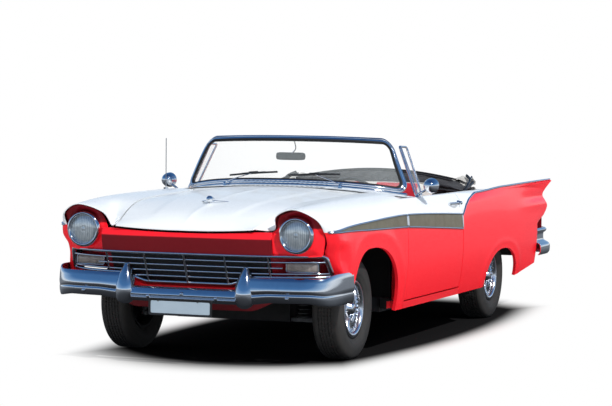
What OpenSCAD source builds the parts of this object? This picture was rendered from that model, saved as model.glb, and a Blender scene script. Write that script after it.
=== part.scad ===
// Full-size two-door convertible of the late 1950s, with its top folded.
// The front faces -Y, the car's left side is +X, and Z is up from the ground.

/* [Chassis] */
// Distance between the front and rear axle centres
wheelbase = 2997; // [2900:1:3100]
// Distance from the front end of the car to the front axle
front_overhang = 870; // [860:1:900]
// Distance between the middles of the two front tyres
track_front = 1484; // [1450:1:1500]
// Distance between the middles of the two rear tyres
track_rear = 1504; // [1480:1:1520]
// Outside radius of the tyres
tyre_r = 326; // [300:1:340]
// Width of the tyres
tyre_w = 204; // [170:1:215]
// Radius of the rims at the bead seat
rim_r = 184; // [170:1:195]
// Width of each side rail of the frame
rail_w = 70; // [50:1:90]
// Height of each side rail of the frame
rail_h = 90; // [80:1:100]

/* [Body] */
// Overall length of the car
overall_length = 5276; // [5200:1:5400]
// Half of the width of the body at the doors
body_half_w = 968; // [950:1:990]
// Height of the bottom edge of the body sides
sill_z = 275; // [260:1:290]
// Height of the door tops
belt_z = 1003; // [990:1:1020]
// Thickness of fenders, hood and deck
skin_t = 22; // [16:1:26]
// Thickness of the doors and of the cabin walls at their widest
door_t = 118; // [100:1:125]
// Gap between neighbouring panels
panel_gap = 8; // [7:1:10]
// Length of the doors
door_len = 1216; // [1150:1:1250]
// Width of the front bumper
bumper_w = 1952; // [1900:1:1990]

/* [Front end] */
// Distance between the centres of the two headlamps
lamp_spacing = 1446; // [1420:1:1470]
// Height of the headlamp centres
lamp_z = 830; // [820:1:840]
// Outside radius of the headlamp rings
lamp_ring_r = 106; // [90:1:106]
// Number of horizontal bars inside the grille's border
grille_bars = 4; // [3:1:6]
// Thickness of each grille bar
grille_bar_t = 9; // [6:1:12]
// Width of the blank number plate
plate_w = 442; // [300:1:460]
// Height of the blank number plate
plate_h = 115; // [100:1:130]

/* [Windshield] */
// Height of the top of the windshield frame above the ground
windshield_top_z = 1410; // [1380:1:1440]
// Thickness of the glass
glass_t = 6; // [4:1:8]
// Width of the chrome frame around the glass
frame_w = 34; // [26:1:40]

/* [Cabin] */
// Height of the floor's upper side
floor_z = 345; // [335:1:355]
// Height of the front cushion's top above the floor
seat_h = 330; // [300:1:350]
// Radius of the steering wheel
steering_r = 215; // [190:1:225]

/* [Hidden] */

white = "#eef2f5";
red = "#e8212e";
chrome = "#c9ced3";
black = "#17181a";
steel = "#6b6f73";

y_nose = -overall_length / 2;
y_tail = overall_length / 2;
y_fa = y_nose + front_overhang;
y_ra = y_fa + wheelbase;
hub_z = tyre_r;
run = 0.05;
seat_gap = 0.3;

y_door_front = y_fa + 642;
y_door_rear = y_door_front + door_len;
y_fender_end = y_door_front - panel_gap;
y_quarter_start = y_door_rear + panel_gap;
door_bottom_z = sill_z + 55;
door_in_x = body_half_w - door_t;

// Cubic interpolation in a table of stations whose first column is the place along Y.
function station(tab, y, i = 0) = (i >= len(tab) - 2 || y < tab[i + 1][0]) ? i : station(tab, y, i + 1);
function slope(tab, i) = let (a = max(i - 1, 0), b = min(i + 1, len(tab) - 1))
    (tab[b] - tab[a]) / (tab[b][0] - tab[a][0]);
function row_at(tab, y) = let (i = station(tab, y), a = tab[i], b = tab[i + 1], h = b[0] - a[0],
    u = (y - a[0]) / h, uu = u * u, uuu = uu * u)
    (2 * uuu - 3 * uu + 1) * a + (uuu - 2 * uu + u) * h * slope(tab, i)
    + (3 * uu - 2 * uuu) * b + (uuu - uu) * h * slope(tab, i + 1);

// A smooth curve through the points P, with t from 0 to 1.
function through(P, t) = let (n = len(P) - 1, k = min(floor(t * n), n - 1), u = t * n - k,
    a = P[max(k - 1, 0)], b = P[k], c = P[k + 1], d = P[min(k + 2, n)])
    0.5 * (2 * b + (c - a) * u + (2 * a - 5 * b + 4 * c - d) * u * u
    + (3 * b - a - 3 * c + d) * u * u * u);

// Two triangles for one cell of a grid.
function cell(a, b, c, d) = [[a, b, c], [a, c, d]];

// A closed wall between two grids of points with equal counts. Columns run along +Y or +X, rows
// upwards or backwards, and the outer grid faces away from the car.
module wall(outer, inner) {
    nc = len(outer);
    nr = len(outer[0]);
    o = nc * nr;
    function id(i, j) = i * nr + j;
    faces = [
        for (i = [0:nc - 2]) for (j = [0:nr - 2]) each concat(
            cell(id(i, j), id(i, j + 1), id(i + 1, j + 1), id(i + 1, j)),
            cell(o + id(i, j), o + id(i + 1, j), o + id(i + 1, j + 1), o + id(i, j + 1))),
        for (i = [0:nc - 2]) each concat(
            cell(id(i, 0), id(i + 1, 0), o + id(i + 1, 0), o + id(i, 0)),
            cell(id(i, nr - 1), o + id(i, nr - 1), o + id(i + 1, nr - 1), id(i + 1, nr - 1))),
        for (j = [0:nr - 2]) each concat(
            cell(id(0, j), o + id(0, j), o + id(0, j + 1), id(0, j + 1)),
            cell(id(nc - 1, j), id(nc - 1, j + 1), o + id(nc - 1, j + 1), o + id(nc - 1, j)))];
    polyhedron(points = concat([for (c = outer) each c], [for (c = inner) each c]), faces = faces);
}

// A bar swept along a path, with one four-cornered section for each point of the path.
module swept(sections) {
    n = len(sections);
    k = len(sections[0]);
    faces = concat([for (i = [0:n - 2]) for (j = [0:k - 1]) each
        cell(i * k + j, (i + 1) * k + j, (i + 1) * k + (j + 1) % k, i * k + (j + 1) % k)],
        [for (j = [1:k - 2]) [0, j, j + 1]],
        [for (j = [1:k - 2]) [(n - 1) * k, (n - 1) * k + j + 1, (n - 1) * k + j]]);
    polyhedron(points = [for (s = sections) each s], faces = faces);
}

module both_sides() {
    children();
    mirror([1, 0, 0]) children();
}

// Points of a section moved inwards by t, for sections that run up the side and over the top.
function inward(S, t) = [for (j = [0:len(S) - 1]) let (a = S[max(j - 1, 0)],
    b = S[min(j + 1, len(S) - 1)], d = b - a) S[j] + t * [-d[1], d[0]] / norm(d)];

// Body side: x at height z, from the row's sill, widest and shoulder points.
function side_x(r, z) = z < r[3] ? r[2] - (r[2] - r[1]) * pow((r[3] - z) / (r[3] - sill_z), 2)
    : r[2] - (r[2] - r[4]) * pow((z - r[3]) / (r[5] - r[3]), 2);
function pairs(r, first) = [for (k = [first:2:len(r) - 2]) [r[k], r[k + 1]]];
function side_rows(r, z_low, n) = [for (j = [0:n]) let (z = z_low + (r[5] - z_low) * j / n)
    [side_x(r, z), z]];

bw = body_half_w;
bz = belt_z;
// Fender stations, columns: y, sill x, widest x and z, shoulder x and z, then the points over
// the top as x and z pairs, the last at the hood's edge.
FENDER = [
    [y_fa - 832, bw - 60, bw - 80, 790, bw - 84, 839, bw - 110, 932, 731, 993, 590, 945, 554, 859, 475,
        868],
    [y_fa - 772, bw - 48, bw - 26, 780, bw - 36, 846, bw - 86, 936, 738, 997, 604, 955, 564, 874, 483, 882],
    [y_fa - 690, bw - 44, bw - 12, 765, bw - 26, 852, bw - 76, 944, 752, 1001, 630, 972, 582, 918, 497,
        907],
    [y_fa - 530, bw - 48, bw - 8, 700, bw - 26, 862, bw - 76, 957, 785, 1008, 685, 1000, 610, 975, 522,
        960],
    [y_fa - 330, bw - 48, bw - 8, 650, bw - 22, 880, bw - 70, 966, 805, 1016, 720, 1018, 640, 1009, 550,
        999],
    [y_fa, bw - 42, bw, 640, bw - 14, 900, bw - 64, 978, 820, 1024, 735, 1030, 655, 1026, 574, 1018],
    [y_fa + 400, bw - 40, bw, 640, bw - 14, 915, bw - 66, 992, 825, 1030, 740, 1036, 660, 1036, 588, 1030],
    [y_fa + 642, bw - 40, bw, 640, bw - 16, 925, bw - 70, bz, 825, 1033, 745, 1040, 670, 1041, 600, 1038]];
// Door stations, columns as above up to the door's upper outer edge.
DOOR = [
    [y_door_front - 20, bw - 40, bw, 640, bw - 16, 925, bw - 70, bz],
    [y_door_front + 0.5 * door_len, bw - 40, bw + 1, 640, bw - 16, 925, bw - 70, bz],
    [y_door_rear + 20, bw - 42, bw, 640, bw - 18, 925, bw - 70, bz]];
// Quarter stations: as the door's up to the crest of the fin, then x and z pairs inboard of it.
QUARTER = [
    [y_door_rear - 20, bw - 42, bw, 640, bw - 18, 925, bw - 70, bz, bw - 84, bz + 1, bw - 102, bz + 1,
        door_in_x, bz],
    [y_door_rear + 350, bw - 46, bw - 2, 640, bw - 18, 930, bw - 42, 990, bw - 76, 1003, bw - 104, 1003,
        840, 1003],
    [y_ra - 110, bw - 52, bw - 6, 640, bw - 24, 945, bw - 38, 1013, bw - 76, 1001, 830, 996, 760, 992],
    [y_ra + 120, bw - 56, bw - 6, 640, bw - 26, 945, bw - 38, 1016, bw - 82, 998, 780, 985, 650, 984],
    [y_ra + 500, bw - 60, bw - 12, 640, bw - 32, 950, bw - 38, 1021, bw - 88, 978, 780, 958, 636, 954],
    [y_ra + 950, bw - 66, bw - 26, 640, bw - 40, 955, bw - 39, 1026, bw - 94, 935, 780, 908, 636, 902],
    [y_ra + 1345, bw - 74, bw - 40, 640, bw - 44, 960, bw - 40, 1029, bw - 98, 888, 780, 856, 636, 852]];

// Wheel arches, columns: centre y, reach forwards, reach backwards, height above the sill, power.
FRONT_ARCH = [y_fa - 55, 330, 540, 447, 2.5];
REAR_ARCH = [y_ra - 60, 415, 445, 270, 2.2];
valance_z = sill_z + 155;
function arch_z(A, y) = let (u = abs(y - A[0]) / (y < A[0] ? A[1] : A[2]))
    u >= 1 ? sill_z : sill_z + A[3] * pow(1 - pow(u, A[4]), 1 / A[4]);
function arch_reach(A, z) = pow(1 - pow((z - sill_z) / A[3], A[4]), 1 / A[4]);

// Front fender: side rows up to the shoulder, then rows over the top to the hood's edge.
fender_side_n = 8;
fender_top_n = 13;
// The front edge leans back: how far each height of the side, and each point over the top, is
// moved towards the rear at the first station. The move fades out over the stations behind it.
SIDE_LEAN = [[430, 322], [544, 305], [697, 222], [839, 148]];
TOP_LEAN = [148, 63, 8, 64, 125, 0];
lean_start = y_fa - 832;
lean_length = 432;
function lean_share(y) = y > lean_start + lean_length ? 0 : pow((lean_start
    + lean_length - y) / lean_length, 1.15);
fender_cols = let (A = FRONT_ARCH, e = arch_reach(FRONT_ARCH, valance_z)) concat(
    [for (d = [832, 805, 772, 735, 690, 630, 560, 470]) y_fa - d],
    [for (k = [0:6]) A[0] - A[1] * e * cos(90 * k / 7)],
    [for (k = [0:8]) A[0] + A[2] * sin(90 * k / 8)],
    [y_fa + 560, y_fender_end]);
function fender_low(y) = max(y < FRONT_ARCH[0] ? valance_z : sill_z, arch_z(FRONT_ARCH, y));
// A shallow groove along the side under the headlamp.
function groove(y, z) = 26 * ease(y_fa - 420, y_fa - 680, y) * (ease(790, 715, z) - ease(690, 560, z));
// Points of a fender section: x, z and the move towards the rear.
function fender_sec(y) = let (r = row_at(FENDER, y), S = [for (p = side_rows(r, fender_low(y),
    fender_side_n))
    [p[0] - groove(y, p[1]), p[1], lookup(p[1], SIDE_LEAN)]], D = pairs(r, 4),
    T = concat([S[fender_side_n - 1]], [for (k = [0:len(D) - 1]) [D[k][0], D[k][1], TOP_LEAN[k]]]))
    concat(S, [for (j = [1:fender_top_n]) through(T,
        (1 + (len(T) - 2) * j / fender_top_n) / (len(T) - 1))]);

module front_fender() {
    out = [for (y = fender_cols) [for (p = fender_sec(y)) [p[0], y + p[2] * lean_share(y), p[1]]]];
    inn = [for (y = fender_cols) let (S = fender_sec(y), N = inward([for (p = S) [p[0], p[1]]], skin_t),
        back = y == y_fender_end ? 1.1 * skin_t : 0)
        [for (j = [0:len(S) - 1]) [N[j][0], y + S[j][2] * lean_share(y) - back, N[j][1]]]];
    difference() {
        wall(out, inn);
        translate([hood_edge(hood_hinge_y)[0], hood_hinge_y, hood_hinge_z]) rotate([0, 90, 0])
            cylinder(r = hinge_pin_r + run, h = 40, $fn = 48);
    }
}
module front_fender_left() { color(white) front_fender(); }
module front_fender_right() { color(white) mirror([1, 0, 0]) front_fender(); }

// Door: outer skin, flat inner face, and two pockets in its front inner corner for the hinges.
hinge_x = body_half_w - 34;
hinge_y = y_door_front + 34;
hinge_pin_r = 6;
hinge_barrel_r = 11;
hinge_zs = [sill_z + 175, sill_z + 545];
pocket_h = 70;
door_side_n = 8;
door_top_n = 3;
door_cols = [for (k = [0:8]) y_door_front + door_len * k / 8];
function door_sec(y) = let (r = row_at(DOOR, y), S = side_rows(r, door_bottom_z, door_side_n),
    T = concat([S[door_side_n - 1]], pairs(r, 4)))
    concat(S, [for (j = [1:door_top_n]) through(T, (1 + j / door_top_n) / 2)]);
module door() {
    out = [for (y = door_cols) [for (p = door_sec(y)) [p[0], y, p[1]]]];
    inn = [for (y = door_cols) [for (p = door_sec(y)) [door_in_x, y, p[1]]]];
    difference() {
        wall(out, inn);
        for (z = hinge_zs)
            translate([door_in_x - 1, y_door_front - 1, z - pocket_h / 2])
            cube([hinge_x + hinge_barrel_r + 5 - door_in_x + 1, 36 + hinge_barrel_r + 5, pocket_h]);
    }
    for (z = hinge_zs)
        translate([hinge_x, hinge_y, z - pocket_h / 2]) cylinder(r = hinge_pin_r, h = pocket_h, $fn = 48);
}
module door_left() { color(red) door(); }
module door_right() { color(red) mirror([1, 0, 0]) door(); }

// Rear quarter: door-thick beside the cabin, a single skin behind it, a fin along its crest.
quarter_side_n = 7;
// Rear outline of the quarter, columns: height, distance forward of the car's rear end.
TAIL = [[368, 640], [382, 560], [414, 475], [477, 451], [630, 449], [690, 385], [743, 213],
    [789, 130], [813, 122], [871, 182], [927, 204], [975, 150], [1029, 49]];
quarter_cols = let (A = REAR_ARCH) concat(
    [y_quarter_start, y_door_rear + 170, y_door_rear + 350, y_door_rear + 500],
    [for (k = [0:6]) A[0] - A[1] * cos(90 * k / 7)],
    [for (k = [0:6]) A[0] + A[2] * sin(90 * k / 6)],
    [y_ra + 600, y_ra + 800, y_ra + 960, y_ra + 1150, y_ra + 1345]);
function tail_y(z) = y_tail - row_at(TAIL, max(min(z, 1029), 368))[1];
function quarter_low(y) = let (rise = y > REAR_ARCH[0] + 200 ? min((y - REAR_ARCH[0] - 200) * 0.11,
    110) : 0)
    max(arch_z(REAR_ARCH, y), sill_z + rise);
function quarter_sec(y) = let (r = row_at(QUARTER, y), S = side_rows(r, quarter_low(y), quarter_side_n),
    T = [S[quarter_side_n - 1], [r[4], r[5]], [r[6], r[7]]], D = pairs(r, 6))
    concat(S, [for (j = [1:3]) through(T, (1 + j / 3) / 2)], [for (j = [1:6]) through(D, j / 6)]);
function quarter_thick(y) = y < y_ra - 590 ? 1 : y < y_ra - 480 ? (y_ra - 480 - y) / 110 : 0;
function tail_shift(y, z) = let (y0 = y_ra + 960, y1 = y_ra + 1345)
    y <= y0 ? y : y0 + (y - y0) * (tail_y(z) - y0) / (y1 - y0);
module quarter() {
    out = [for (y = quarter_cols) [for (p = quarter_sec(y)) [p[0], tail_shift(y, p[1]), p[1]]]];
    inn = [for (y = quarter_cols) let (S = quarter_sec(y), N = inward(S, skin_t), w = quarter_thick(y),
        n = len(S) - 1)
        [for (j = [0:n]) let (x = w * door_in_x + (1 - w) * N[j][0],
        z = w * (S[0][1] + (bz - 5 - S[0][1]) * j / n) + (1 - w) * N[j][1]) [x,
            tail_shift(y, w > 0 ? z : S[j][1]), z]]];
    difference() {
        wall(out, inn);
        translate([deck_edge(lid_hinge_y)[0] - panel_gap, lid_hinge_y, lid_hinge_z]) rotate([0, 90, 0])
            cylinder(r = hinge_pin_r + run, h = 40, $fn = 48);
    }
}
module quarter_left() { color(red) quarter(); }
module quarter_right() { color(red) mirror([1, 0, 0]) quarter(); }

// Hood and deck share their profiles with the inner edges of the panels beside them.
// Centre line of the hood, columns: y, z.
HOOD_CENTRE = [[y_fa - 838, 852], [y_fa - 800, 884], [y_fa - 740, 918], [y_fa - 650, 950],
    [y_fa - 500, 982], [y_fa - 300, 1012], [y_fa, 1040], [y_fa + 350, 1058], [y_fa + 634, 1068]];
y_hood_rear = y_fender_end;
lip_t = 10;
hood_hinge_y = y_fa - 814;
hood_hinge_z = hood_edge(hood_hinge_y)[1] - skin_t / 2;
hood_n = 8;
hood_cols = [for (k = [-hood_n:hood_n]) k / hood_n];
hood_rows = [y_fa - 838, y_fa - 815, y_fa - 780, y_fa - 730, y_fa - 660, y_fa - 560, y_fa - 430,
    y_fa - 250, y_fa - 50, y_fa + 200, y_fa + 430, y_hood_rear];
function hood_edge(y) = let (r = row_at(FENDER, max(y, y_fa - 832)), n = len(r)) [r[n - 2] - panel_gap,
    r[n - 1]];
function hood_pt(u, y, drop) = let (e = hood_edge(y), c = row_at(HOOD_CENTRE, y)[1])
    [u * e[0], y + (y < y_fa - 700 ? 12 * u * u : 0), e[1] + (c - e[1]) * (1 - pow(abs(u), 2.4)) - drop];
module hood() {
    color(white) union() {
        wall([for (u = hood_cols) [for (y = hood_rows) hood_pt(u, y, 0)]],
            [for (u = hood_cols) [for (y = hood_rows) hood_pt(u, y, y == hood_rows[0] ? lip_t : skin_t)]]);
        both_sides() translate([hood_edge(hood_hinge_y)[0] - 15, hood_hinge_y, hood_hinge_z])
            rotate([0, 90, 0]) cylinder(r = hinge_pin_r, h = 15 + panel_gap + 24, $fn = 48);
    }
}

y_lid_front = y_ra - 1;
y_lid_rear = y_tail - 150;
deck_strip = 108;
// Centre line of the deck, columns: y, z.
DECK_CENTRE = [[y_lid_front - 150, 1000], [y_lid_front, 997], [y_lid_front + 500, 968],
    [y_lid_front + 950, 914], [y_lid_front + 1180, 878], [y_lid_front + 1240, 850], [y_lid_rear, 800]];
lid_n = 6;
lid_rows = concat([y_lid_front],
    [for (y = quarter_cols) if (y > y_lid_front + 20 && y < y_lid_front + 970) y],
    [for (f = [1060, 1130, 1180, 1220, 1245]) y_lid_front + f]);
DECK_EDGE = [for (y = quarter_cols) let (S = quarter_sec(y), e = S[len(S) - 1]) [tail_shift(y, e[1]),
    e[0], e[1]]];
function deck_edge(y) = [lookup(y, [for (e = DECK_EDGE) [e[0], e[1]]]),
    lookup(y, [for (e = DECK_EDGE) [e[0], e[2]]])];
function deck_pt(u, y, gap, drop) = let (e = deck_edge(y), c = row_at(DECK_CENTRE, y)[1],
    zc = max(c, e[1] + 12 - max(0, y - y_lid_front - 1150) * 2)) [u * (e[0] - gap), y,
    min(e[1], zc) + (zc - min(e[1], zc)) * (1 - pow(abs(u), 2.4)) - drop];
lid_hinge_y = y_lid_front + 100;
lid_hinge_z = deck_edge(lid_hinge_y)[1] - skin_t / 2;
module trunk_lid() {
    color(white) union() {
        wall([for (k = [-lid_n:lid_n]) [for (y = lid_rows) deck_pt(k / lid_n, y, panel_gap, 0)]],
            [for (k = [-lid_n:lid_n]) [for (y = lid_rows) deck_pt(k / lid_n, y, panel_gap, skin_t)]]);
        both_sides() translate([deck_edge(lid_hinge_y)[0] - panel_gap - 15, lid_hinge_y, lid_hinge_z])
            rotate([0, 90, 0]) cylinder(r = hinge_pin_r, h = 15 + panel_gap + 24, $fn = 48);
    }
}

// A flat shape in X and Z, extruded from y0 to y1, and one in Y and Z, extruded from x0 to x1.
module along_y(y0, y1) { translate([0, y1, 0]) rotate([90, 0, 0]) linear_extrude(y1 - y0) children(); }
module along_x(x0, x1) { translate([x0, 0, 0]) rotate([90, 0, 90]) linear_extrude(x1 - x0) children(); }
module rod(p, q, r, fn = 24) {
    d = q - p;
    translate(p) rotate([0, acos(d[2] / norm(d)), atan2(d[1], d[0])]) cylinder(r = r, h = norm(d),
        $fn = fn);
}

// Frame: two side rails kicked up over both axles, with cross members.
floor_t = 10;
rail_z = floor_z - floor_t - rail_h / 2 - seat_gap;
rail_x = 730;
front_rail_x = 400;
front_rail_z = 430;
rear_rail_x = 530;
// Columns: y, x and z of the rail's middle.
RAIL = [[y_fa - 560, front_rail_x, front_rail_z], [y_fa + 330, front_rail_x, front_rail_z],
    [y_fa + 440, front_rail_x + 60, front_rail_z - 60], [y_fa + 638, rail_x, rail_z],
    [y_ra - 660, rail_x, rail_z], [y_ra - 520, rear_rail_x + 80, rail_z + 45],
    [y_ra - 350, rear_rail_x + 10, rail_z + 130], [y_ra - 120, rear_rail_x, 515],
    [y_ra + 150, rear_rail_x, 515], [y_ra + 420, rear_rail_x, 465], [y_tail - 90, rear_rail_x, 455]];
cross_top_z = front_rail_z - rail_h / 2 + 15;
arm_z = 238;
// Cross members, columns: y, half length, bottom, height, depth.
CROSS = [[y_fa - 540, front_rail_x, front_rail_z - 30, 60, 50],
    [y_fa, front_rail_x, arm_z - 12, cross_top_z - arm_z + 12, 100],
    [y_ra - 300, rear_rail_x, 440, 50, 50], [y_ra + 420, rear_rail_x, 440, 50, 60],
    [y_tail - 250, rear_rail_x, 430, 50, 60]];
module frame() {
    color(black) union() {
        both_sides() swept([for (r = RAIL) let (a = rail_w / 2, b = rail_h / 2)
            [[r[1] - a, r[0], r[2] - b], [r[1] - a, r[0], r[2] + b], [r[1] + a, r[0], r[2] + b],
            [r[1] + a, r[0], r[2] - b]]]);
        for (c = CROSS) translate([-c[1], c[0] - c[4] / 2, c[2]]) cube([2 * c[1], c[4], c[3]]);
        both_sides() translate([front_rail_x, y_fa - 45, 400]) cube([spring_x + 45 - front_rail_x, 90, 20]);
    }
}

// Front suspension: two arms and a coil spring round a damper on each side.
kingpin_x = track_front / 2 - 82;
kingpin_r = 22;
spring_x = 490;
upper_arm_z = 452;
module arm(x0, z) {
    difference() {
        union() {
            translate([x0, y_fa - 28, z - 12]) cube([kingpin_x - 30 - x0, 56, 24]);
            translate([kingpin_x, y_fa, z - 12]) cylinder(r = 36, h = 24, $fn = 48);
        }
        translate([kingpin_x, y_fa, z - 13]) cylinder(r = kingpin_r + run, h = 26, $fn = 48);
    }
}
module front_suspension() {
    coils = 6;
    z0 = arm_z + 12;
    h = 400 - seat_gap - z0;
    color(steel) both_sides() {
        arm(front_rail_x + seat_gap, arm_z);
        arm(front_rail_x + rail_w / 2 + seat_gap, upper_arm_z);
        difference() {
            translate([230, y_fa + 50 + seat_gap, link_z - 20]) cube([40, link_y - y_fa - 30, 40]);
            translate([229, link_y, link_z]) rotate([0, 90, 0]) cylinder(r = link_r + run, h = 42,
                $fn = 48);
        }
        translate([spring_x, y_fa, z0]) rotate_extrude($fn = 48) polygon(concat([[0, 0]],
            [for (k = [0:coils - 1]) each [[44, h * k / coils], [54, h * (k + 0.3) / coils],
            [54, h * (k + 0.5) / coils], [44, h * (k + 0.8) / coils], [34, h * (k + 0.9) / coils]]],
                [[44, h], [0, h]]));
    }
}

// Knuckle: kingpin, spindle, backing plate and a steering arm that reaches rearwards.
spindle_r = 17;
link_x = kingpin_x - 30;
link_y = y_fa + 150;
link_z = 246;
link_r = 12;
arm_bar_z = link_z + link_r + 6 + 9;
module knuckle() {
    color(steel) union() {
        translate([kingpin_x, y_fa, arm_z - 18]) cylinder(r = kingpin_r, h = upper_arm_z - arm_z + 36,
            $fn = 48);
        translate([kingpin_x, y_fa, hub_z]) rotate([0, 90, 0]) cylinder(r = spindle_r,
            h = track_front / 2 + 26 - kingpin_x, $fn = 48);
        translate([kingpin_x - 10, y_fa, hub_z]) rotate([0, 90, 0]) cylinder(r = 32, h = 44, $fn = 48);
        rod([kingpin_x, y_fa, arm_bar_z], [link_x, link_y, arm_bar_z], 9);
        translate([link_x, link_y, arm_bar_z - 9]) cylinder(r = 14, h = 24, $fn = 32);
    }
}
module knuckle_left() { knuckle(); }
module knuckle_right() { mirror([1, 0, 0]) knuckle(); }
module steering_linkage() {
    color(steel) rod([-link_x - 2, link_y, link_z], [link_x + 2, link_y, link_z], link_r, 48);
}

// Wheel and tyre, drawn round Z with the outer side up, then stood at a hub.
rim_half = 74;
cover_fins = 32;
module at_hub(x, y) { translate([x, y, hub_z]) rotate([0, 90, 0]) children(); }
module wheel() {
    color(chrome) difference() {
        union() {
            rotate_extrude($fn = 96) polygon([[rim_r - 8, -rim_half], [rim_r - 8, -rim_half - 6],
                [rim_r + 7, -rim_half - 6], [rim_r + 7, -rim_half], [rim_r, -rim_half], [rim_r, rim_half],
                [rim_r + 7, rim_half], [rim_r + 7, rim_half + 6], [rim_r - 4, rim_half + 8],
                [rim_r - 18, rim_half + 4], [rim_r - 34, rim_half - 20], [96, rim_half - 32],
                [88, rim_half - 26], [60, rim_half - 22], [44, rim_half - 6], [30, rim_half + 4],
                [0, rim_half + 8], [0, -36], [60, -36], [60, 6], [rim_r - 8, 12]]);
            for (k = [0:cover_fins - 1]) rotate([0, 0, 360 * k / cover_fins])
                translate([92, -3, rim_half - 40]) cube([rim_r - 34 - 90, 6, 26]);
        }
        translate([0, 0, -40]) cylinder(r = spindle_r + run, h = 68, $fn = 48);
    }
}
module tyre() {
    w = tyre_w / 2;
    b = rim_half - 8;
    color("#1c1d1f") rotate_extrude($fn = 96) polygon([[rim_r + seat_gap, -b], [rim_r + 16, -b - 16],
        [rim_r + 44, -w + 3], [rim_r + 76, -w], [tyre_r - 26, -w + 8], [tyre_r - 8, -w + 20],
        [tyre_r, -w + 36], [tyre_r, w - 36], [tyre_r - 8, w - 20], [tyre_r - 26, w - 8], [rim_r + 76, w],
        [rim_r + 44, w - 3], [rim_r + 16, b + 16], [rim_r + seat_gap, b]]);
}
xf = track_front / 2;
xr = track_rear / 2;
module wheel_front_left() { at_hub(xf, y_fa) wheel(); }
module wheel_front_right() { mirror([1, 0, 0]) at_hub(xf, y_fa) wheel(); }
module wheel_rear_left() { at_hub(xr, y_ra) wheel(); }
module wheel_rear_right() { mirror([1, 0, 0]) at_hub(xr, y_ra) wheel(); }
module tyre_front_left() { at_hub(xf, y_fa) tyre(); }
module tyre_front_right() { mirror([1, 0, 0]) at_hub(xf, y_fa) tyre(); }
module tyre_rear_left() { at_hub(xr, y_ra) tyre(); }
module tyre_rear_right() { mirror([1, 0, 0]) at_hub(xr, y_ra) tyre(); }

// Rear axle: tube, differential, propeller shaft and leaf springs.
axle_r = 40;
// Top of the leaf spring, columns: distance behind the axle, z. Its ends meet the rails.
LEAF = [[-400, 349], [-300, 314], [-150, 294], [0, 288], [150, 294], [300, 314], [450, 352], [600, 417.6]];
module rear_axle() {
    color(steel) {
        translate([-xr + 60, y_ra, hub_z]) rotate([0, 90, 0]) cylinder(r = axle_r, h = 2 * xr - 120,
            $fn = 48);
        both_sides() translate([xr - 61, y_ra, hub_z]) rotate([0, 90, 0]) cylinder(r = spindle_r,
            h = 87, $fn = 48);
        translate([0, y_ra, hub_z]) rotate([0, 90, 0]) rotate_extrude($fn = 48)
            polygon([[0, -110], [60, -100], [120, -60], [140, 0], [120, 60], [60, 100], [0, 110]]);
        rod([0, y_ra - 100, hub_z], [0, y_fa + 1064, hub_z + 60], 36, 32);
        both_sides() along_x(rear_rail_x - 25, rear_rail_x + 25) polygon(concat(
            [for (p = LEAF) [y_ra + p[0], p[1] - 24]],
                [for (k = [len(LEAF) - 1:-1:0]) [y_ra + LEAF[k][0], LEAF[k][1]]]));
    }
}
module tube(P, n = 10) {
    swept([for (p = P) [for (k = [0:n - 1]) [p[1] + p[3] * sin(360 * k / n), p[0],
        p[2] + p[3] * cos(360 * k / n)]]]);
}
// Exhaust, columns: y, x, z, radius.
exhaust_x = -330;
EXHAUST = [[y_fa + 470, -250, 358, 26], [y_fa + 700, exhaust_x, 290, 26], [y_ra - 1340, exhaust_x, 272, 26],
    [y_ra - 1290, exhaust_x, 272, 60], [y_ra - 760, exhaust_x, 272, 60], [y_ra - 700, exhaust_x, 282, 25],
    [y_ra - 460, -400, 340, 25], [y_ra - 150, -440, 450, 25], [y_ra + 80, -440, 460, 25],
    [y_ra + 330, -445, 400, 25], [y_ra + 640, -450, 340, 25], [y_tail - 120, -450, 330, 25]];
module exhaust() { color(steel) tube(EXHAUST); }
module fuel_tank() {
    color(black) along_x(-360, 360) polygon([[y_ra + 495, 400], [y_ra + 1050, 400], [y_ra + 1090, 440],
        [y_ra + 1090, trunk_floor_z - floor_t - seat_gap], [y_ra + 460,
            trunk_floor_z - floor_t - seat_gap], [y_ra + 460, 440]]);
}

// Engine as one block with its gearbox, and the radiator with its two posts on the frame.
module engine() {
    color(steel) {
        translate([-290, y_fa - 200, cross_top_z + seat_gap]) cube([580, 680, 480]);
        translate([-110, y_fa + 480, 330]) cube([220, 580, 140]);
    }
}
module radiator() {
    y = y_fa - 560;
    color(black) {
        translate([-330, y, front_rail_z + rail_h / 2 + seat_gap]) cube([660, 60, 370]);
        both_sides() translate([329, y, front_rail_z + rail_h / 2 + seat_gap]) cube([60, 60, 40]);
    }
}

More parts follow.
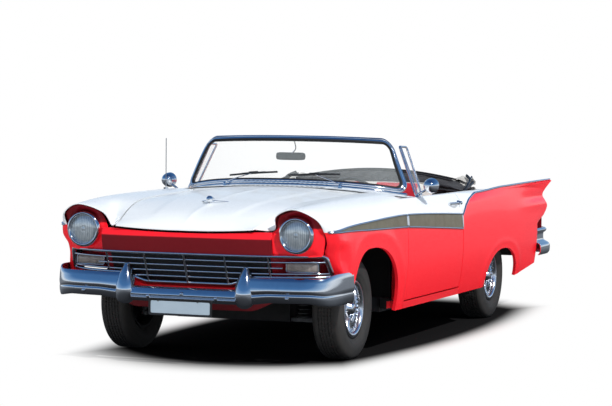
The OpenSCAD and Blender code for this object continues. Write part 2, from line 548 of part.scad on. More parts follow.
// Floor: cabin floor with its tunnel, sills, rear seat pan, trunk floor and wheel houses.
trunk_floor_z = 600;
sill_in = 790;
seat_pan_z = 480;
y_pan = y_ra - 830;
y_trunk = y_ra - 360;
house_r = 400;
trunk_floor_x = bw - 120;
well_z = 965;
y_rear_panel = y_tail - 187;
y_firewall = y_fender_end + panel_gap;
module floor() {
    f = floor_z;
    b = floor_z - floor_t;
    color("#7b1a20") {
        along_y(y_firewall, y_pan) polygon([[-sill_in, b], [-sill_in, f], [-190, f], [-150, f + 150],
            [150, f + 150],
            [190, f], [sill_in, f], [sill_in, b], [180, b], [142, f + 140], [-142, f + 140], [-180, b]]);
        both_sides() along_y(y_firewall - 60, y_pan) polygon([[sill_in, sill_z], [sill_in + 48, sill_z],
            [sill_in + 48, f], [sill_in, f]]);
        both_sides() along_y(y_quarter_start, y_pan + floor_t) polygon([[sill_in + 48, sill_z],
            [door_in_x - seat_gap, sill_z],
            [door_in_x - seat_gap, f], [sill_in + 48, f]]);
        both_sides() along_y(y_door_front, y_door_rear) polygon([[sill_in + 48, sill_z], [bw - 40, sill_z],
            [bw - 33, door_bottom_z - panel_gap], [sill_in + 48, door_bottom_z - panel_gap]]);
        difference() {
            along_x(-door_in_x + 1, door_in_x - 1) polygon([[y_pan, b], [y_pan, seat_pan_z],
                [y_trunk, seat_pan_z],
                [y_trunk, seat_pan_z - floor_t], [y_pan + floor_t, seat_pan_z - floor_t],
                    [y_pan + floor_t, b]]);
            along_y(y_pan - 1, y_pan + floor_t + 1) polygon([[-180, b - 1], [-142, f + 100],
                [142, f + 100], [180, b - 1]]);
        }
        along_x(-622, 622) polygon([[y_trunk - floor_t, seat_pan_z - floor_t],
            [y_trunk - floor_t, trunk_floor_z], [y_rear_panel - seat_gap, trunk_floor_z],
            [y_rear_panel - seat_gap, trunk_floor_z - floor_t], [y_trunk, trunk_floor_z - floor_t],
                [y_trunk, seat_pan_z - floor_t]]);
        both_sides() along_x(622, trunk_floor_x) polygon([[y_ra + house_r - 10, trunk_floor_z],
            [y_rear_panel - seat_gap, trunk_floor_z],
            [y_rear_panel - seat_gap, trunk_floor_z - floor_t],
                [y_ra + house_r - 10, trunk_floor_z - floor_t]]);
        both_sides() {
            along_x(622, 920) polygon(concat(
                [for (a = [20:10:160]) [y_ra + house_r * cos(a), hub_z + house_r * sin(a)]],
                [for (a = [160:-10:20]) [y_ra + (house_r - 10) * cos(a),
                    hub_z + (house_r - 10) * sin(a)]]));
            along_x(622, 632) polygon([for (a = [20:10:160]) [y_ra + house_r * cos(a),
                hub_z + house_r * sin(a)]]);
        }
        along_x(-622, 622) polygon([[y_lid_front - 70, trunk_floor_z],
            [y_lid_front - 70, well_z - floor_t], [y_ra - 300, well_z - floor_t],
            [y_ra - 300, well_z], [y_lid_front - 60, well_z], [y_lid_front - 60, trunk_floor_z]]);
    }
}

// Cowl: top panel, firewall, hinge pillars with the door hinges' barrels.
cowl_x = door_in_x - 12;
cowl_t = 20;
cowl_edge_z = 1022;
cowl_mid_z = 1070;
// Height of the cowl at x and y; its edges fall towards the windshield's ends.
function cowl_z(x, y) = let (e = cowl_edge_z - 20 * ease(y_firewall, ws_y, y))
    e + (cowl_mid_z - e) * (1 - pow(min(1, abs(x) / cowl_x), 2.4));
ws_x = 840;
ws_y = y_fa + 1056;
ws_bow = 300;
function ws_base_y(x) = ws_y - ws_bow * (1 - pow(min(1, abs(x) / ws_x), 3));
cowl_n = 12;
cowl_xs = [for (k = [-cowl_n:cowl_n]) cowl_x * sin(90 * k / cowl_n)];
module cowl() {
    function pt(x, v, drop) = let (y = y_firewall + v * (ws_base_y(x) + 45 - y_firewall)) [x, y,
        cowl_z(x, y) - drop];
    color(white) union() {
        wall([for (x = cowl_xs) [for (v = [0:0.25:1]) pt(x, v, 0)]],
            [for (x = cowl_xs) [for (v = [0:0.25:1]) pt(x, v, cowl_t)]]);
        difference() {
            along_y(y_firewall, y_firewall + 12) polygon(concat([[-cowl_x, floor_z + seat_gap]],
                [for (x = cowl_xs) [x, cowl_z(x, y_firewall) - cowl_t / 2]],
                    [[cowl_x, floor_z + seat_gap], [135, floor_z + seat_gap],
                [135, floor_z + 150 + seat_gap], [-135, floor_z + 150 + seat_gap],
                    [-135, floor_z + seat_gap]]));
            rod(column_at(y_firewall - 40), column_at(y_firewall + 60), column_r + 1);
            translate([-200, y_firewall - 1, floor_z - 1]) cube([400, 14, 151 + seat_gap]);
        }
        both_sides() {
            translate([sill_in, y_firewall, floor_z + seat_gap]) cube([cowl_x - sill_in, 74, 640]);
            along_x(cowl_x - 23, cowl_x) polygon([for (q = [[0, 0, -110], [0, 0, -18], [1, -20, -18],
                [1, -20, -110]])
                [y_firewall + q[0] * (ws_y + 30 - y_firewall), cowl_edge_z + q[1] + q[2]]]);
            for (z = hinge_zs) difference() {
                union() {
                    translate([cowl_x - 6, hinge_y - 8, z - 20]) cube([hinge_x - cowl_x + 6, 16, 40]);
                    translate([hinge_x, hinge_y, z - 20]) cylinder(r = hinge_barrel_r, h = 40, $fn = 48);
                }
                translate([hinge_x, hinge_y, z - 21]) cylinder(r = hinge_pin_r + run, h = 42, $fn = 48);
            }
        }
    }
}

// Windshield: one wrapped glass in a closed frame, on a surface set by its base and its header.
ws_top_x = 678;
ws_top_y = ws_y + 39;
ws_top_bow = 110;
function ws_base(u) = let (x = ws_x * u, y = ws_base_y(x)) [x, y, cowl_z(x, y) + 14];
function ws_top(u) = [ws_top_x * u, ws_top_y - ws_top_bow * (1 - pow(abs(u), 2.4)),
    windshield_top_z - 12 * u * u];
function ws_pt(u, v) = ws_base(u) * (1 - v) + ws_top(u) * v - [0, 18 * sin(180 * v), 0];
function ws_normal(u, v) = let (a = ws_pt(min(u + 0.01, 1), v) - ws_pt(max(u - 0.01, -1), v),
    b = ws_pt(u, 1) - ws_pt(u, 0), n = cross(a, b)) n / norm(n);
// The outline of the windshield as a rounded rectangle of the surface's u and v, drawn in by the
// shares du and dv. Rows: corner, angle at it, share of the way to the next corner.
ws_cu = 0.1;
ws_cv = 0.24;
WS_LOOP = [for (q = [0:3]) each concat([for (i = [0:6]) [q, 90 * q + 15 * i, 0]],
    let (m = q % 2 == 0 ? 14 : 4) [for (j = [1:m - 1]) [q, 90 * (q + 1), j / m]])];
function ws_corner(q) = let (s = [[1, 1], [-1, 1], [-1, -1], [1, -1]][q % 4]) [s[0] * (1 - ws_cu),
    s[1] * (0.5 - ws_cv)];
function ws_uv(s, du, dv) = let (c = ws_corner(s[0]) * (1 - s[2]) + ws_corner(s[0] + 1) * s[2])
    [c[0] + cos(s[1]) * (ws_cu - du), 0.5 + c[1] + sin(s[1]) * (ws_cv - dv)];
function ws_ring(s, du, dv, off) = let (q = ws_uv(s, du, dv)) ws_pt(q[0], q[1]) + off * ws_normal(q[0],
    q[1]);
frame_du = frame_w / 860;
frame_dv = frame_w / 360;
module closed_swept(S) {
    n = len(S);
    k = len(S[0]);
    polyhedron(points = [for (s = S) each s], faces = [for (i = [0:n - 1]) for (j = [0:k - 1]) each
        cell(i * k + j, ((i + 1) % n) * k + j, ((i + 1) % n) * k + (j + 1) % k, i * k + (j + 1) % k)]);
}
module windshield_frame() {
    d = 13;
    e = glass_t / 2 + 1;
    color(chrome) closed_swept([for (s = WS_LOOP) concat([ws_ring(s, 0, 0, -d)],
        [for (o = [-d, -e, e, d]) ws_ring(s, frame_du, frame_dv, o)], [ws_ring(s, 0, 0, d)])]);
}
module windshield_glass() {
    gap = 0.28;
    side = concat([for (i = [0:6]) [3, 270 + 15 * i, 0]], [for (j = [1:3]) [3, 360, j / 4]],
        [for (i = [0:6]) [0, 15 * i, 0]]);
    function g(off) = [for (k = [-7:7]) [for (s = side) let (q = ws_uv(s, frame_du + gap / 860,
        frame_dv + gap / 360), u = q[0] * k / 7)
        ws_pt(u, q[1]) + off * ws_normal(u, q[1])]];
    color([0.7, 0.85, 0.9, 0.35]) wall(g(glass_t / 2), g(-glass_t / 2));
}
module inside_mirror() {
    p = ws_pt(0, 1 - frame_dv / 2) - 15.3 * ws_normal(0, 0.9);
    color(chrome) {
        rod(p, p + [0, 60, -95], 5);
        translate(p + [-75, 55, -145]) cube([150, 16, 52]);
    }
}
module wipers() {
    function blade(u, i) = ws_pt(u + 0.1 * i, 0.17 + 0.015 * i) + 26 * ws_normal(u + 0.1 * i, 0.17);
    color(black) for (x = [-420, 300]) {
        y = ws_base_y(x) - 40;
        a = [x, y, cowl_z(x, y) + 3 * seat_gap];
        u = (x + 200) / ws_x;
        rod(a + [0, 0, 20], blade(u, 0), 4);
        swept([for (i = [-2:2]) let (q = blade(u, i)) [for (c = [[5, -6], [5, 6], [-5, 6], [-5, -6]])
            q + [0, c[0], c[1]]]]);
        translate(a) cylinder(r = 12, h = 26, $fn = 32);
    }
}

// Dashboard under the cowl, steering column and wheel.
dash_z = 1000;
module dashboard() {
    n = 10;
    x1 = cowl_x - 28;
    function edge(x) = ws_base_y(x) + 45 + seat_gap;
    color(black) {
        translate([0, 0, dash_z - 24]) linear_extrude(24) polygon(concat(
            [for (k = [-n:n]) [x1 * k / n, edge(x1 * k / n)]], [[x1, ws_y + 20], [-x1, ws_y + 20]]));
        difference() {
            translate([-x1, ws_y - 130, dash_z - 140]) cube([2 * x1, 120, 118]);
            rod(column_at(ws_y - 200), column_at(ws_y + 100), column_r + seat_gap, 48);
        }
    }
}
column_r = 28;
steering_c = [380, y_fa + 1188, 935];
column_tilt = 28;
column_axis = [0, cos(column_tilt), sin(column_tilt)];
function column_at(y) = steering_c + column_axis * ((y - steering_c[1]) / column_axis[1]);
shaft_r = 10;
module steering_column() {
    color(steel) difference() {
        union() {
            rod(column_at(y_fa + 380), steering_c - 60 * column_axis, column_r, 48);
            translate([345, y_fa + 270, front_rail_z + rail_h / 2 + seat_gap]) cube([80, 130, 84]);
        }
        rod(steering_c - 140 * column_axis, steering_c - 50 * column_axis, shaft_r + run, 48);
    }
}
module steering_wheel() {
    color(black) translate(steering_c) rotate([column_tilt - 90, 0, 0]) {
        rotate_extrude($fn = 64) translate([steering_r - 11, 0]) circle(r = 11, $fn = 24);
        translate([0, 0, -52]) cylinder(r = 36, h = 50, $fn = 48);
        translate([0, 0, -130]) cylinder(r = shaft_r, h = 80, $fn = 48);
        for (s = [-1, 1]) rod([s * 24, 0, -30], [s * (steering_r - 12), 0, 0], 9);
    }
}

// Seats as plain cushions on a base.
seat_half = 700;
rear_seat_half = 615;
module front_seat() {
    z = floor_z + seat_h;
    y = y_door_rear - 30;
    color(red) difference() {
        union() {
            along_x(-seat_half + 60, seat_half - 60) polygon([[y - 480, floor_z + seat_gap],
                [y - 10, floor_z + seat_gap], [y - 10, z - 210], [y - 480, z - 210]]);
            along_x(-seat_half, seat_half) polygon([[y - 520, z - 220], [y - 545, z - 90],
                [y - 520, z - 20], [y - 470, z],
                [y, z - 30], [y + 70, z + 370], [y + 95, z + 395], [y + 150, z + 390],
                    [y + 165, z + 350], [y + 120, z], [y + 70, z - 220]]);
        }
        along_y(y - 600, y + 200) polygon([[-191, floor_z - 1], [-151, floor_z + 150 + seat_gap],
            [151, floor_z + 150 + seat_gap], [191, floor_z - 1]]);
    }
}
module rear_seat() {
    y = y_pan + 20;
    z = seat_pan_z + seat_gap;
    color(red) along_x(-rear_seat_half, rear_seat_half) polygon([[y - 19, z], [y - 19, z + 16],
        [y - 40, z + 90], [y - 20, z + 140], [y + 30, z + 160], [y + 350, z + 130],
        [y + 420, z + 430], [y + 445, z + 450], [y + 500, z + 445], [y + 439, z + 125], [y + 439, z]]);
}

// Folded top lying behind the rear seat, with its folded side rails.
module folded_top() {
    n = 12;
    y0 = y_ra - 470;
    y1 = y_lid_front - deck_strip - 1;
    function top_z(x, v) = 1000 + (145 - 62 * pow(x / 600,
        2) + (abs(x) > 600 ? -0.3 * (abs(x) - 600) : 0)) * pow(sin(20 + 140 * v), 0.8);
    color("#2a2c30") {
        wall([for (k = [-n:n]) [for (v = [0:0.125:1]) let (x = 740 * k / n) [x, y0 + v * (y1 - y0),
            top_z(x, v)]]],
            [for (k = [-n:n]) [for (v = [0:0.125:1]) let (x = 740 * k / n) [x, y0 + v * (y1 - y0),
                well_z + seat_gap]]]);
    }
}

// Front panel over the grille, with the walls behind the headlamps.
nose_face = y_nose + 38;
nose_half = 575;
function nose_y(x) = nose_face + 189 * pow(abs(x) / 861, 4);
nose_low_z = 706;
nose_top_z = 826;
function nose_top(x) = nose_top_z + max(0, abs(x) - 460) / 12;
function nose_off(z) = z < 804 ? 6 - 18 * pow((z - nose_low_z) / (804 - nose_low_z),
    0.8) : -12 + 22 * pow((z - 804) / 40, 1.3);
nose_xs = let (h = [90, 180, 280, 370, 455, 520, nose_half]) concat([for (k = [6:-1:0]) -h[k]], [0], h);
module front_panel() {
    color(red) union() {
        wall([for (x = nose_xs) [for (j = [0:6]) let (z = nose_low_z
            + (nose_top(x) - nose_low_z) * j / 6) [x, nose_y(x) + nose_off(z), z]]],
            [for (x = nose_xs) [for (j = [0:6]) let (z = nose_low_z
                + (nose_top(x) - nose_low_z) * j / 6) [x, nose_y(x) + nose_off(z) + skin_t, z]]]);
        both_sides() closed_swept([for (a = [0:10:350]) lamp_plate(a)]);
        both_sides() hull() for (d = [0, 1]) translate([nose_half - 40 + 20 * d,
            nose_y(nose_half) + 12 + 24 * d, 720])
            cube([20, 6, 80]);
        both_sides() translate([290, nose_y(350) + 10, nose_low_z + 2]) cube([120,
            y_fa - 560 - nose_y(350) - 10 - seat_gap, 14]);
    }
}
lamp_y = y_nose + 158;
// Plate behind each headlamp: a flat ring under the lamp's flange, then out to the rim of the
// opening. Columns: angle, radius, distance behind the car's front end.
LAMP_RIM = [[0, 133, 197], [6, 131, 198], [36, 137, 122], [60, 133, 100], [83, 131, 84], [117, 134, 98],
    [136, 148, 118], [166, 138, 150], [180, 158, 110], [216, 196, 110], [235, 146, 122], [270, 120, 138],
    [299, 137, 172], [316, 170, 212], [332, 148, 204], [360, 133, 197]];
lamp_plate_t = 12;
function lamp_plate(a) = let (c = [lamp_spacing / 2, lamp_z], d = [cos(a), sin(a)],
    h = (lamp_ring_r - 7 + seat_gap) / cos(5),
    y = lamp_y - 28 + seat_gap, low = sin(a) < -0.4 ? 120 / -sin(a) : 999,
    R = max(min(lookup(a, [for (r = LAMP_RIM) [r[0], r[1]]]), low), lamp_ring_r + 8),
    s = y_nose + lookup(a, [for (r = LAMP_RIM) [r[0], r[2]]]),
        P = [[R, s + lamp_plate_t], [lamp_ring_r + 4, y + lamp_plate_t],
    [h, y + lamp_plate_t], [h, y], [lamp_ring_r + 4, y], [R, s]]) [for (p = P) [c[0] + p[0] * d[0],
        p[1], c[1] + p[0] * d[1]]];
module headlamps() {
    r = lamp_ring_r;
    color(chrome) both_sides() translate([lamp_spacing / 2, lamp_y - seat_gap, lamp_z]) rotate([90, 0,
        0]) rotate_extrude($fn = 72)
        polygon([[0, 0], [r - 7, 0], [r - 7, 28], [r, 28], [r, 44], [r - 6, 52], [r - 13, 50],
            [r - 15, 46], [60, 58], [30, 64], [0, 66]]);
}

// A bar that follows the grille's surface from x0, z0 to x1, z1. The surface leans back downwards.
module nose_bar(x0, x1, z0, h, off, depth, n = 14, z1 = 0) {
    swept([for (k = [0:n]) let (x = x0 + (x1 - x0) * k / n, z = z0 + ((z1 == 0 ? z0 : z1) - z0) * k / n,
        y = grille_y(x, z) + off)
        [[x, y + depth, z - h / 2], [x, y + depth, z + h / 2], [x, y, z + h / 2], [x, y, z - h / 2]]]);
}
grille_top_z = nose_low_z - 7 - seat_gap;
grille_low_z = 517;
grille_step_z = 568;
step_x0 = 290;
step_x1 = 445;
park_x0 = 628;
park_x1 = 820;
park_z = 628;
park_h = 48;
park_wall = 4;
grille_corner = 866;
function grille_y(x, z) = nose_y(x) + 0.41 * (grille_top_z - z);
function grille_end(z) = grille_corner + (grille_top_z - z) * 0.19;
bar_zs = [for (k = [1:grille_bars]) grille_low_z + (grille_top_z - grille_low_z) * k / (grille_bars + 1)];
// Upright of the grille: a strip w wide from z0 up to z1.
module upright(x, w, z0, z1, off, depth) {
    swept([for (q = [[x, z0], [x, z1]]) let (y = grille_y(q[0], q[1]) + off)
        [[q[0] + w / 2, y, q[1]], [q[0] + w / 2, y + depth, q[1]], [q[0] - w / 2, y + depth, q[1]],
            [q[0] - w / 2, y, q[1]]]]);
}
module grille() {
    w = grille_corner - 4;
    color(chrome) union() {
        nose_bar(-w, w, grille_top_z, 14, 0, 20, 20);
        nose_bar(-step_x0, step_x0, grille_low_z, 14, 0, 20);
        both_sides() {
            nose_bar(step_x0 - 5, step_x1, grille_low_z, 13, 0.8, 18, 6, grille_step_z);
            nose_bar(step_x1 - 6, grille_end(grille_step_z) - 4, grille_step_z, 14, 0, 20);
            swept([for (z = [grille_step_z - 24, grille_top_z + 7]) let (x = grille_end(z),
                y = grille_y(x, z) - 1.5)
                [[x + 3, y, z], [x + 3, y + 8, z], [x - 17, y + 8, z], [x - 17, y, z]]]);
            upright(548, 12, grille_step_z, grille_top_z, 2, 20);
            upright(park_x0 - park_wall, 2 * park_wall, grille_step_z, grille_top_z, 10, 16);
            for (z = [park_z - park_h / 2 - seat_gap - 2 * park_wall, park_z + park_h / 2 + seat_gap])
                translate([0, 0, z]) linear_extrude(2 * park_wall) polygon([[park_x0 - 8,
                    grille_y(park_x0, z) + 14],
                    [park_x1 + 4, grille_y(park_x1, z) + 14], [park_x1 + 4, park_y1 + 32],
                        [park_x0 - 8, park_y0 + 32]]);
        }
        for (z = bar_zs) let (e = z < grille_step_z ? step_x1 : abs(z - park_z) < park_h / 2
            + 2 ? park_x0 - 4 : grille_end(z) - 7)
            nose_bar(-e, e, z, grille_bar_t, 6, 14, 18);
        for (x = [-272, 0, 272]) upright(x, 12, grille_low_z, grille_top_z, x == 0 ? -2 : 1.3, 24);
    }
}
park_y0 = y_nose + 205;
park_y1 = y_nose + 226;
park_ribs = 12;
module parking_lamps() {
    color([0.92, 0.92, 0.88]) both_sides() translate([0, 0,
        park_z - park_h / 2]) linear_extrude(park_h) polygon(concat(
        [for (k = [0:2 * park_ribs]) let (t = k / (2 * park_ribs)) [park_x0 + (park_x1 - park_x0) * t,
        park_y0 + (park_y1 - park_y0) * t - (k % 2 == 0 ? 0 : 3)]],
            [[park_x1, park_y1 + 22], [park_x0, park_y0 + 22]]));
}

// Bumpers: a blade along a rounded plan, columns of points from bottom to top.
bumper_n = 4.5;
blade_t = 12;
plate_t = 4;
bulge = 8;
front_wrap = 485;
front_b = front_wrap - plate_t - seat_gap - bulge;
function plan(a, half, depth, n = bumper_n) = [half * sign(sin(a)) * pow(abs(sin(a)), 2 / n),
    -depth * pow(abs(cos(a)), 2 / n)];
function plan_n(a, half, depth, n = bumper_n) = let (p = plan(min(a + 1, 90), half, depth, n),
    q = plan(max(a - 1, -90), half, depth, n), d = p - q)
    [d[1], -d[0]] / norm(d);
function ease(a, b, x) = let (t = max(0, min(1, (x - a) / (b - a)))) t * t * (3 - 2 * t);
// Front blade profile, columns: share of the height, distance out.
FRONT_BLADE = [[0, -26], [0.1, -6], [0.28, 3], [0.42, 0], [0.5, 3], [0.72, bulge], [0.92, 3], [1, -18]];
guard_x = 405;
blade_angles = [for (k = [-16:16]) let (t = k / 16) 90 * (0.55 * t + 0.45 * t * t * t)];
function front_blade(a, j, t) = let (P = plan(a, bumper_w / 2, front_b),
    N = plan_n(a, bumper_w / 2, front_b), x = abs(P[0]),
    hi = 490 + 80 * ease(guard_x - 45, guard_x + 30, x) + 25 * ease(900, 976, x),
        lo = 397 + 20 * ease(guard_x, 600, x) - 17 * ease(800, 960, x),
    e = ease(760, 950, x), o = FRONT_BLADE[j][1] * (1 - 0.8 * e) - t * (1 - 0.4 * e)) [P[0] + N[0] * o,
        y_nose + front_wrap + P[1] + N[1] * o, lo + (hi - lo) * FRONT_BLADE[j][0]];
module front_bumper() {
    color(chrome) union() {
        wall([for (a = blade_angles) [for (j = [0:7]) front_blade(a, j, 0)]],
            [for (a = blade_angles) [for (j = [0:7]) front_blade(a, j, blade_t)]]);
        both_sides() difference() {
            translate([guard_x, y_nose + 64, 0]) rotate_extrude($fn = 48) polygon([[0, 374], [34, 380],
                [54, 402],
                [63, 436], [64, 474], [58, 520], [45, 565], [28, 602], [12, 628], [0, 634]]);
            along_x(guard_x - 80, guard_x + 80) polygon([for (q = [[0, 490], [0, 700], [200, 700],
                [200, 490]])
                [grille_y(guard_x, q[1]) - 8 + q[0], q[1]]]);
        }
        both_sides() translate([front_rail_x - 25, y_nose + 70, front_rail_z - 30]) cube([50,
            y_fa - 565 - y_nose - 70 - seat_gap, 60]);
        translate([-90, y_nose + plate_t + seat_gap, 402]) cube([180, 16, 22]);
    }
}
module number_plate() {
    color("#9fb0bf") translate([-plate_w / 2, y_nose, 312]) cube([plate_w, plate_t, plate_h]);
}
REAR_BLADE = [[0, -14], [0.12, 2], [0.38, 0], [0.5, -38], [0.56, -50], [0.78, -50], [0.84, -34],
    [0.93, -26], [1, -40]];
rear_wrap = 434;
rear_n = 8;
function rear_blade(a, j, t) = let (P = plan(a, 966, rear_wrap - 2, rear_n),
    N = plan_n(a, 966, rear_wrap - 2, rear_n), o = REAR_BLADE[j][1] - t,
    hi = 640, lo = 424) [-(P[0] + N[0] * o), y_tail - rear_wrap - P[1] - N[1] * o,
        lo + (hi - lo) * REAR_BLADE[j][0]];
module rear_bumper() {
    color(chrome) union() {
        wall([for (a = blade_angles) [for (j = [0:8]) rear_blade(a, j, 0)]],
            [for (a = blade_angles) [for (j = [0:8]) rear_blade(a, j, blade_t)]]);
        both_sides() translate([rear_rail_x - 25, y_tail - 90 + seat_gap, 436]) cube([50, 90 - 17, 44]);
    }
}

// Tail panel under the lid and between the quarters, the deck strip in front of the lid.
plate_pitch = 178;
plate_hole_z = 735;
plate_hole_r = 3.5;
module rear_panel() {
    x = bw - 106;
    low_x = bw - 122;
    y0 = y_rear_panel;
    color(red) difference() {
        along_y(y0, y0 + skin_t) polygon([[-low_x, 506], [low_x, 506], [low_x, 655], [x, 655], [x, 836],
            [780, 826], [655, 820], [630, 770], [-630, 770], [-655, 820], [-780, 826], [-x, 836],
            [-x, 655], [-low_x, 655]]);
        for (s = [-1, 1]) translate([s * plate_pitch / 2, y0 - 1, plate_hole_z]) rotate([-90, 0, 0])
            cylinder(r = plate_hole_r, h = skin_t + 2, $fn = 32);
    }
    color(white) wall([for (k = [-6:6]) [for (y = [y_lid_front - deck_strip, REAR_ARCH[0],
        y_lid_front - panel_gap]) deck_pt(k / 6, y, seat_gap, 0)]],
        [for (k = [-6:6]) [for (y = [y_lid_front - deck_strip, REAR_ARCH[0],
            y_lid_front - panel_gap - 16]) deck_pt(k / 6, y, seat_gap, skin_t)]]);
}
module tail_lamps() {
    color(red) both_sides() translate([796, y_rear_panel + skin_t + seat_gap, 762]) rotate([-90, 0,
        0]) rotate_extrude($fn = 64)
        polygon([[0, 0], [84, 0], [88, 20], [86, 44], [78, 52], [66, 50], [50, 62], [26, 72], [0, 76]]);
}
module antenna() {
    color(chrome) translate([-760, y_fa + 522, 1038.4]) {
        cylinder(r = 16, h = 12, $fn = 32);
        cylinder(r = 3, h = 350, $fn = 24);
    }
}

// Vent window frame and mirror on each door.
// Columns of the frame: outer y and z, inner y and z, from the windshield's base.
VENT = [[24, 0, 50, 17], [232, 0, 214, 17], [262, 336, 244, 326], [252, 348, 240, 332],
    [92, 348, 104, 332], [78, 339, 93, 327]];
function lean(v) = door_in_x + 12 - 0.42 * v;
module door_fittings() {
    color(chrome) {
        z = belt_z + seat_gap;
        closed_swept([for (p = VENT) [[lean(p[1]) - 7, ws_y + p[0], z + p[1]],
            [lean(p[3]) - 7, ws_y + p[2], z + p[3]],
            [lean(p[3]) + 7, ws_y + p[2], z + p[3]], [lean(p[1]) + 7, ws_y + p[0], z + p[1]]]]);
        m = [902, y_fa + 1018, z];
        h = [985, y_fa + 1030, 1082];
        translate(m) cylinder(r = 15, h = 12, $fn = 32);
        rod(m + [0, 0, 6], h, 7);
        translate(h + [0, -46, 0]) rotate([-90, 0, 0]) rotate_extrude($fn = 48) polygon([[0, 0],
            [26, 6], [42, 24], [50, 50], [52, 84], [0, 84]]);
    }
}
module door_fittings_left() { door_fittings(); }
module door_fittings_right() { mirror([1, 0, 0]) door_fittings(); }

frame();
front_suspension();
rear_axle();
exhaust();
fuel_tank();
engine();
radiator();
floor();
cowl();
front_fender_left();
front_fender_right();
front_panel();
grille();
headlamps();
parking_lamps();
front_bumper();
number_plate();
windshield_frame();
windshield_glass();
inside_mirror();
wipers();
dashboard();
steering_column();
front_seat();
rear_seat();
folded_top();
quarter_left();
quarter_right();
rear_panel();
tail_lamps();
rear_bumper();
antenna();
steering_linkage();
knuckle_left();
knuckle_right();
wheel_front_left();
wheel_front_right();
wheel_rear_left();
wheel_rear_right();
tyre_front_left();
tyre_front_right();
tyre_rear_left();
tyre_rear_right();
door_left();
door_right();
door_fittings_left();
door_fittings_right();
hood();
trunk_lid();
steering_wheel();
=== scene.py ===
import math

import bmesh
import bpy
import numpy as np
from mathutils import Matrix, Vector


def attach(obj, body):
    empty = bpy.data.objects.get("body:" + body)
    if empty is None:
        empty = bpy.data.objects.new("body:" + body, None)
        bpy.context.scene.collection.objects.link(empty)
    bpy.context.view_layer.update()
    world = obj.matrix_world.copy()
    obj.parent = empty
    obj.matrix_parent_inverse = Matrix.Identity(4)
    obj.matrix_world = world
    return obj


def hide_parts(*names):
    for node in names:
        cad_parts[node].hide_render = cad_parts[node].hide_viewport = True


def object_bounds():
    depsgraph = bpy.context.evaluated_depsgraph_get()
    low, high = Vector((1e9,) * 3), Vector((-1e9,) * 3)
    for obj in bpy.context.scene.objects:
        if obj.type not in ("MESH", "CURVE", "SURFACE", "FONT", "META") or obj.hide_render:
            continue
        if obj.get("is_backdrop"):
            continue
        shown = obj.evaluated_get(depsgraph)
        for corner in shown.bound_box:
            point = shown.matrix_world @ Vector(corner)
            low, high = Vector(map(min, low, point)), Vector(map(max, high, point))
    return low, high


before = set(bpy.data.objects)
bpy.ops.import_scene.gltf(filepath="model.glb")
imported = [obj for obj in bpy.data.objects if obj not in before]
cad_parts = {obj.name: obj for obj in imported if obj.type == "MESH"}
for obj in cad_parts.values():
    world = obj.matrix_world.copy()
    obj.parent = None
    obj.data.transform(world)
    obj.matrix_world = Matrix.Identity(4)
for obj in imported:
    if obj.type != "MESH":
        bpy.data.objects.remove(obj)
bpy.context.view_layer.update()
print("frame loaded:", len(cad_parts), "nodes")


# camera and node helpers

cameraSettings = {
    "place": (5.4486, -14.3301, 1.6102),
    "yaw": 21.55,
    "pitch": 2.71,
    "roll": 0.52,
    "lens": 123.53,
    "shift": (-0.00077, 0.00559),
}


def makeCamera(settings):
    yaw, pitch, roll = (math.radians(settings[k]) for k in ("yaw", "pitch", "roll"))
    back = Vector((math.sin(yaw) * math.cos(pitch), -math.cos(yaw) * math.cos(pitch), math.sin(pitch)))
    right = Vector((0, 0, 1)).cross(back).normalized()
    up = back.cross(right)
    right, up = right * math.cos(roll) + up * math.sin(roll), up * math.cos(roll) - right * math.sin(roll)
    data = bpy.data.cameras.new("camera")
    data.lens, data.sensor_width = settings["lens"], 36
    data.shift_x, data.shift_y = settings["shift"]
    data.clip_end = 400
    camera = bpy.data.objects.new("camera", data)
    camera.matrix_world = Matrix.Translation(settings["place"]) @ Matrix((right, up,
            back)).transposed().to_4x4()
    bpy.context.scene.collection.objects.link(camera)
    bpy.context.scene.camera = camera
    bpy.context.scene.view_settings.view_transform = "Standard"


class Signal:  # one output socket; sums and the methods below add nodes
    def __init__(self, finish, socket):
        self.finish, self.socket = finish, socket

    def maths(self, operation, first, second=0.0, third=0.0):
        return self.finish.node("ShaderNodeMath", {"operation": operation},
                                {0: first, 1: second, 2: third})

    def __add__(self, other):
        return self.maths("ADD", self, other)

    def __radd__(self, other):
        return self.maths("ADD", other, self)

    def __sub__(self, other):
        return self.maths("SUBTRACT", self, other)

    def __rsub__(self, other):
        return self.maths("SUBTRACT", other, self)

    def __mul__(self, other):
        return self.maths("MULTIPLY", self, other)

    def __rmul__(self, other):
        return self.maths("MULTIPLY", other, self)

    def __truediv__(self, other):
        return self.maths("DIVIDE", self, other)

    def __rtruediv__(self, other):
        return self.maths("DIVIDE", other, self)

    def __pow__(self, other):
        return self.maths("POWER", self, other)

    def __neg__(self):
        return self.maths("MULTIPLY", self, -1.0)

    def sine(self):
        return self.finish.node("ShaderNodeMath", {"operation": "SINE"}, {0: self})

    def size(self):
        return self.finish.node("ShaderNodeMath", {"operation": "ABSOLUTE"}, {0: self})

    def smooth(self, low, high):
        return self.finish.node("ShaderNodeMapRange", {"interpolation_type": "SMOOTHSTEP"},
                                {0: self, 1: low, 2: high})


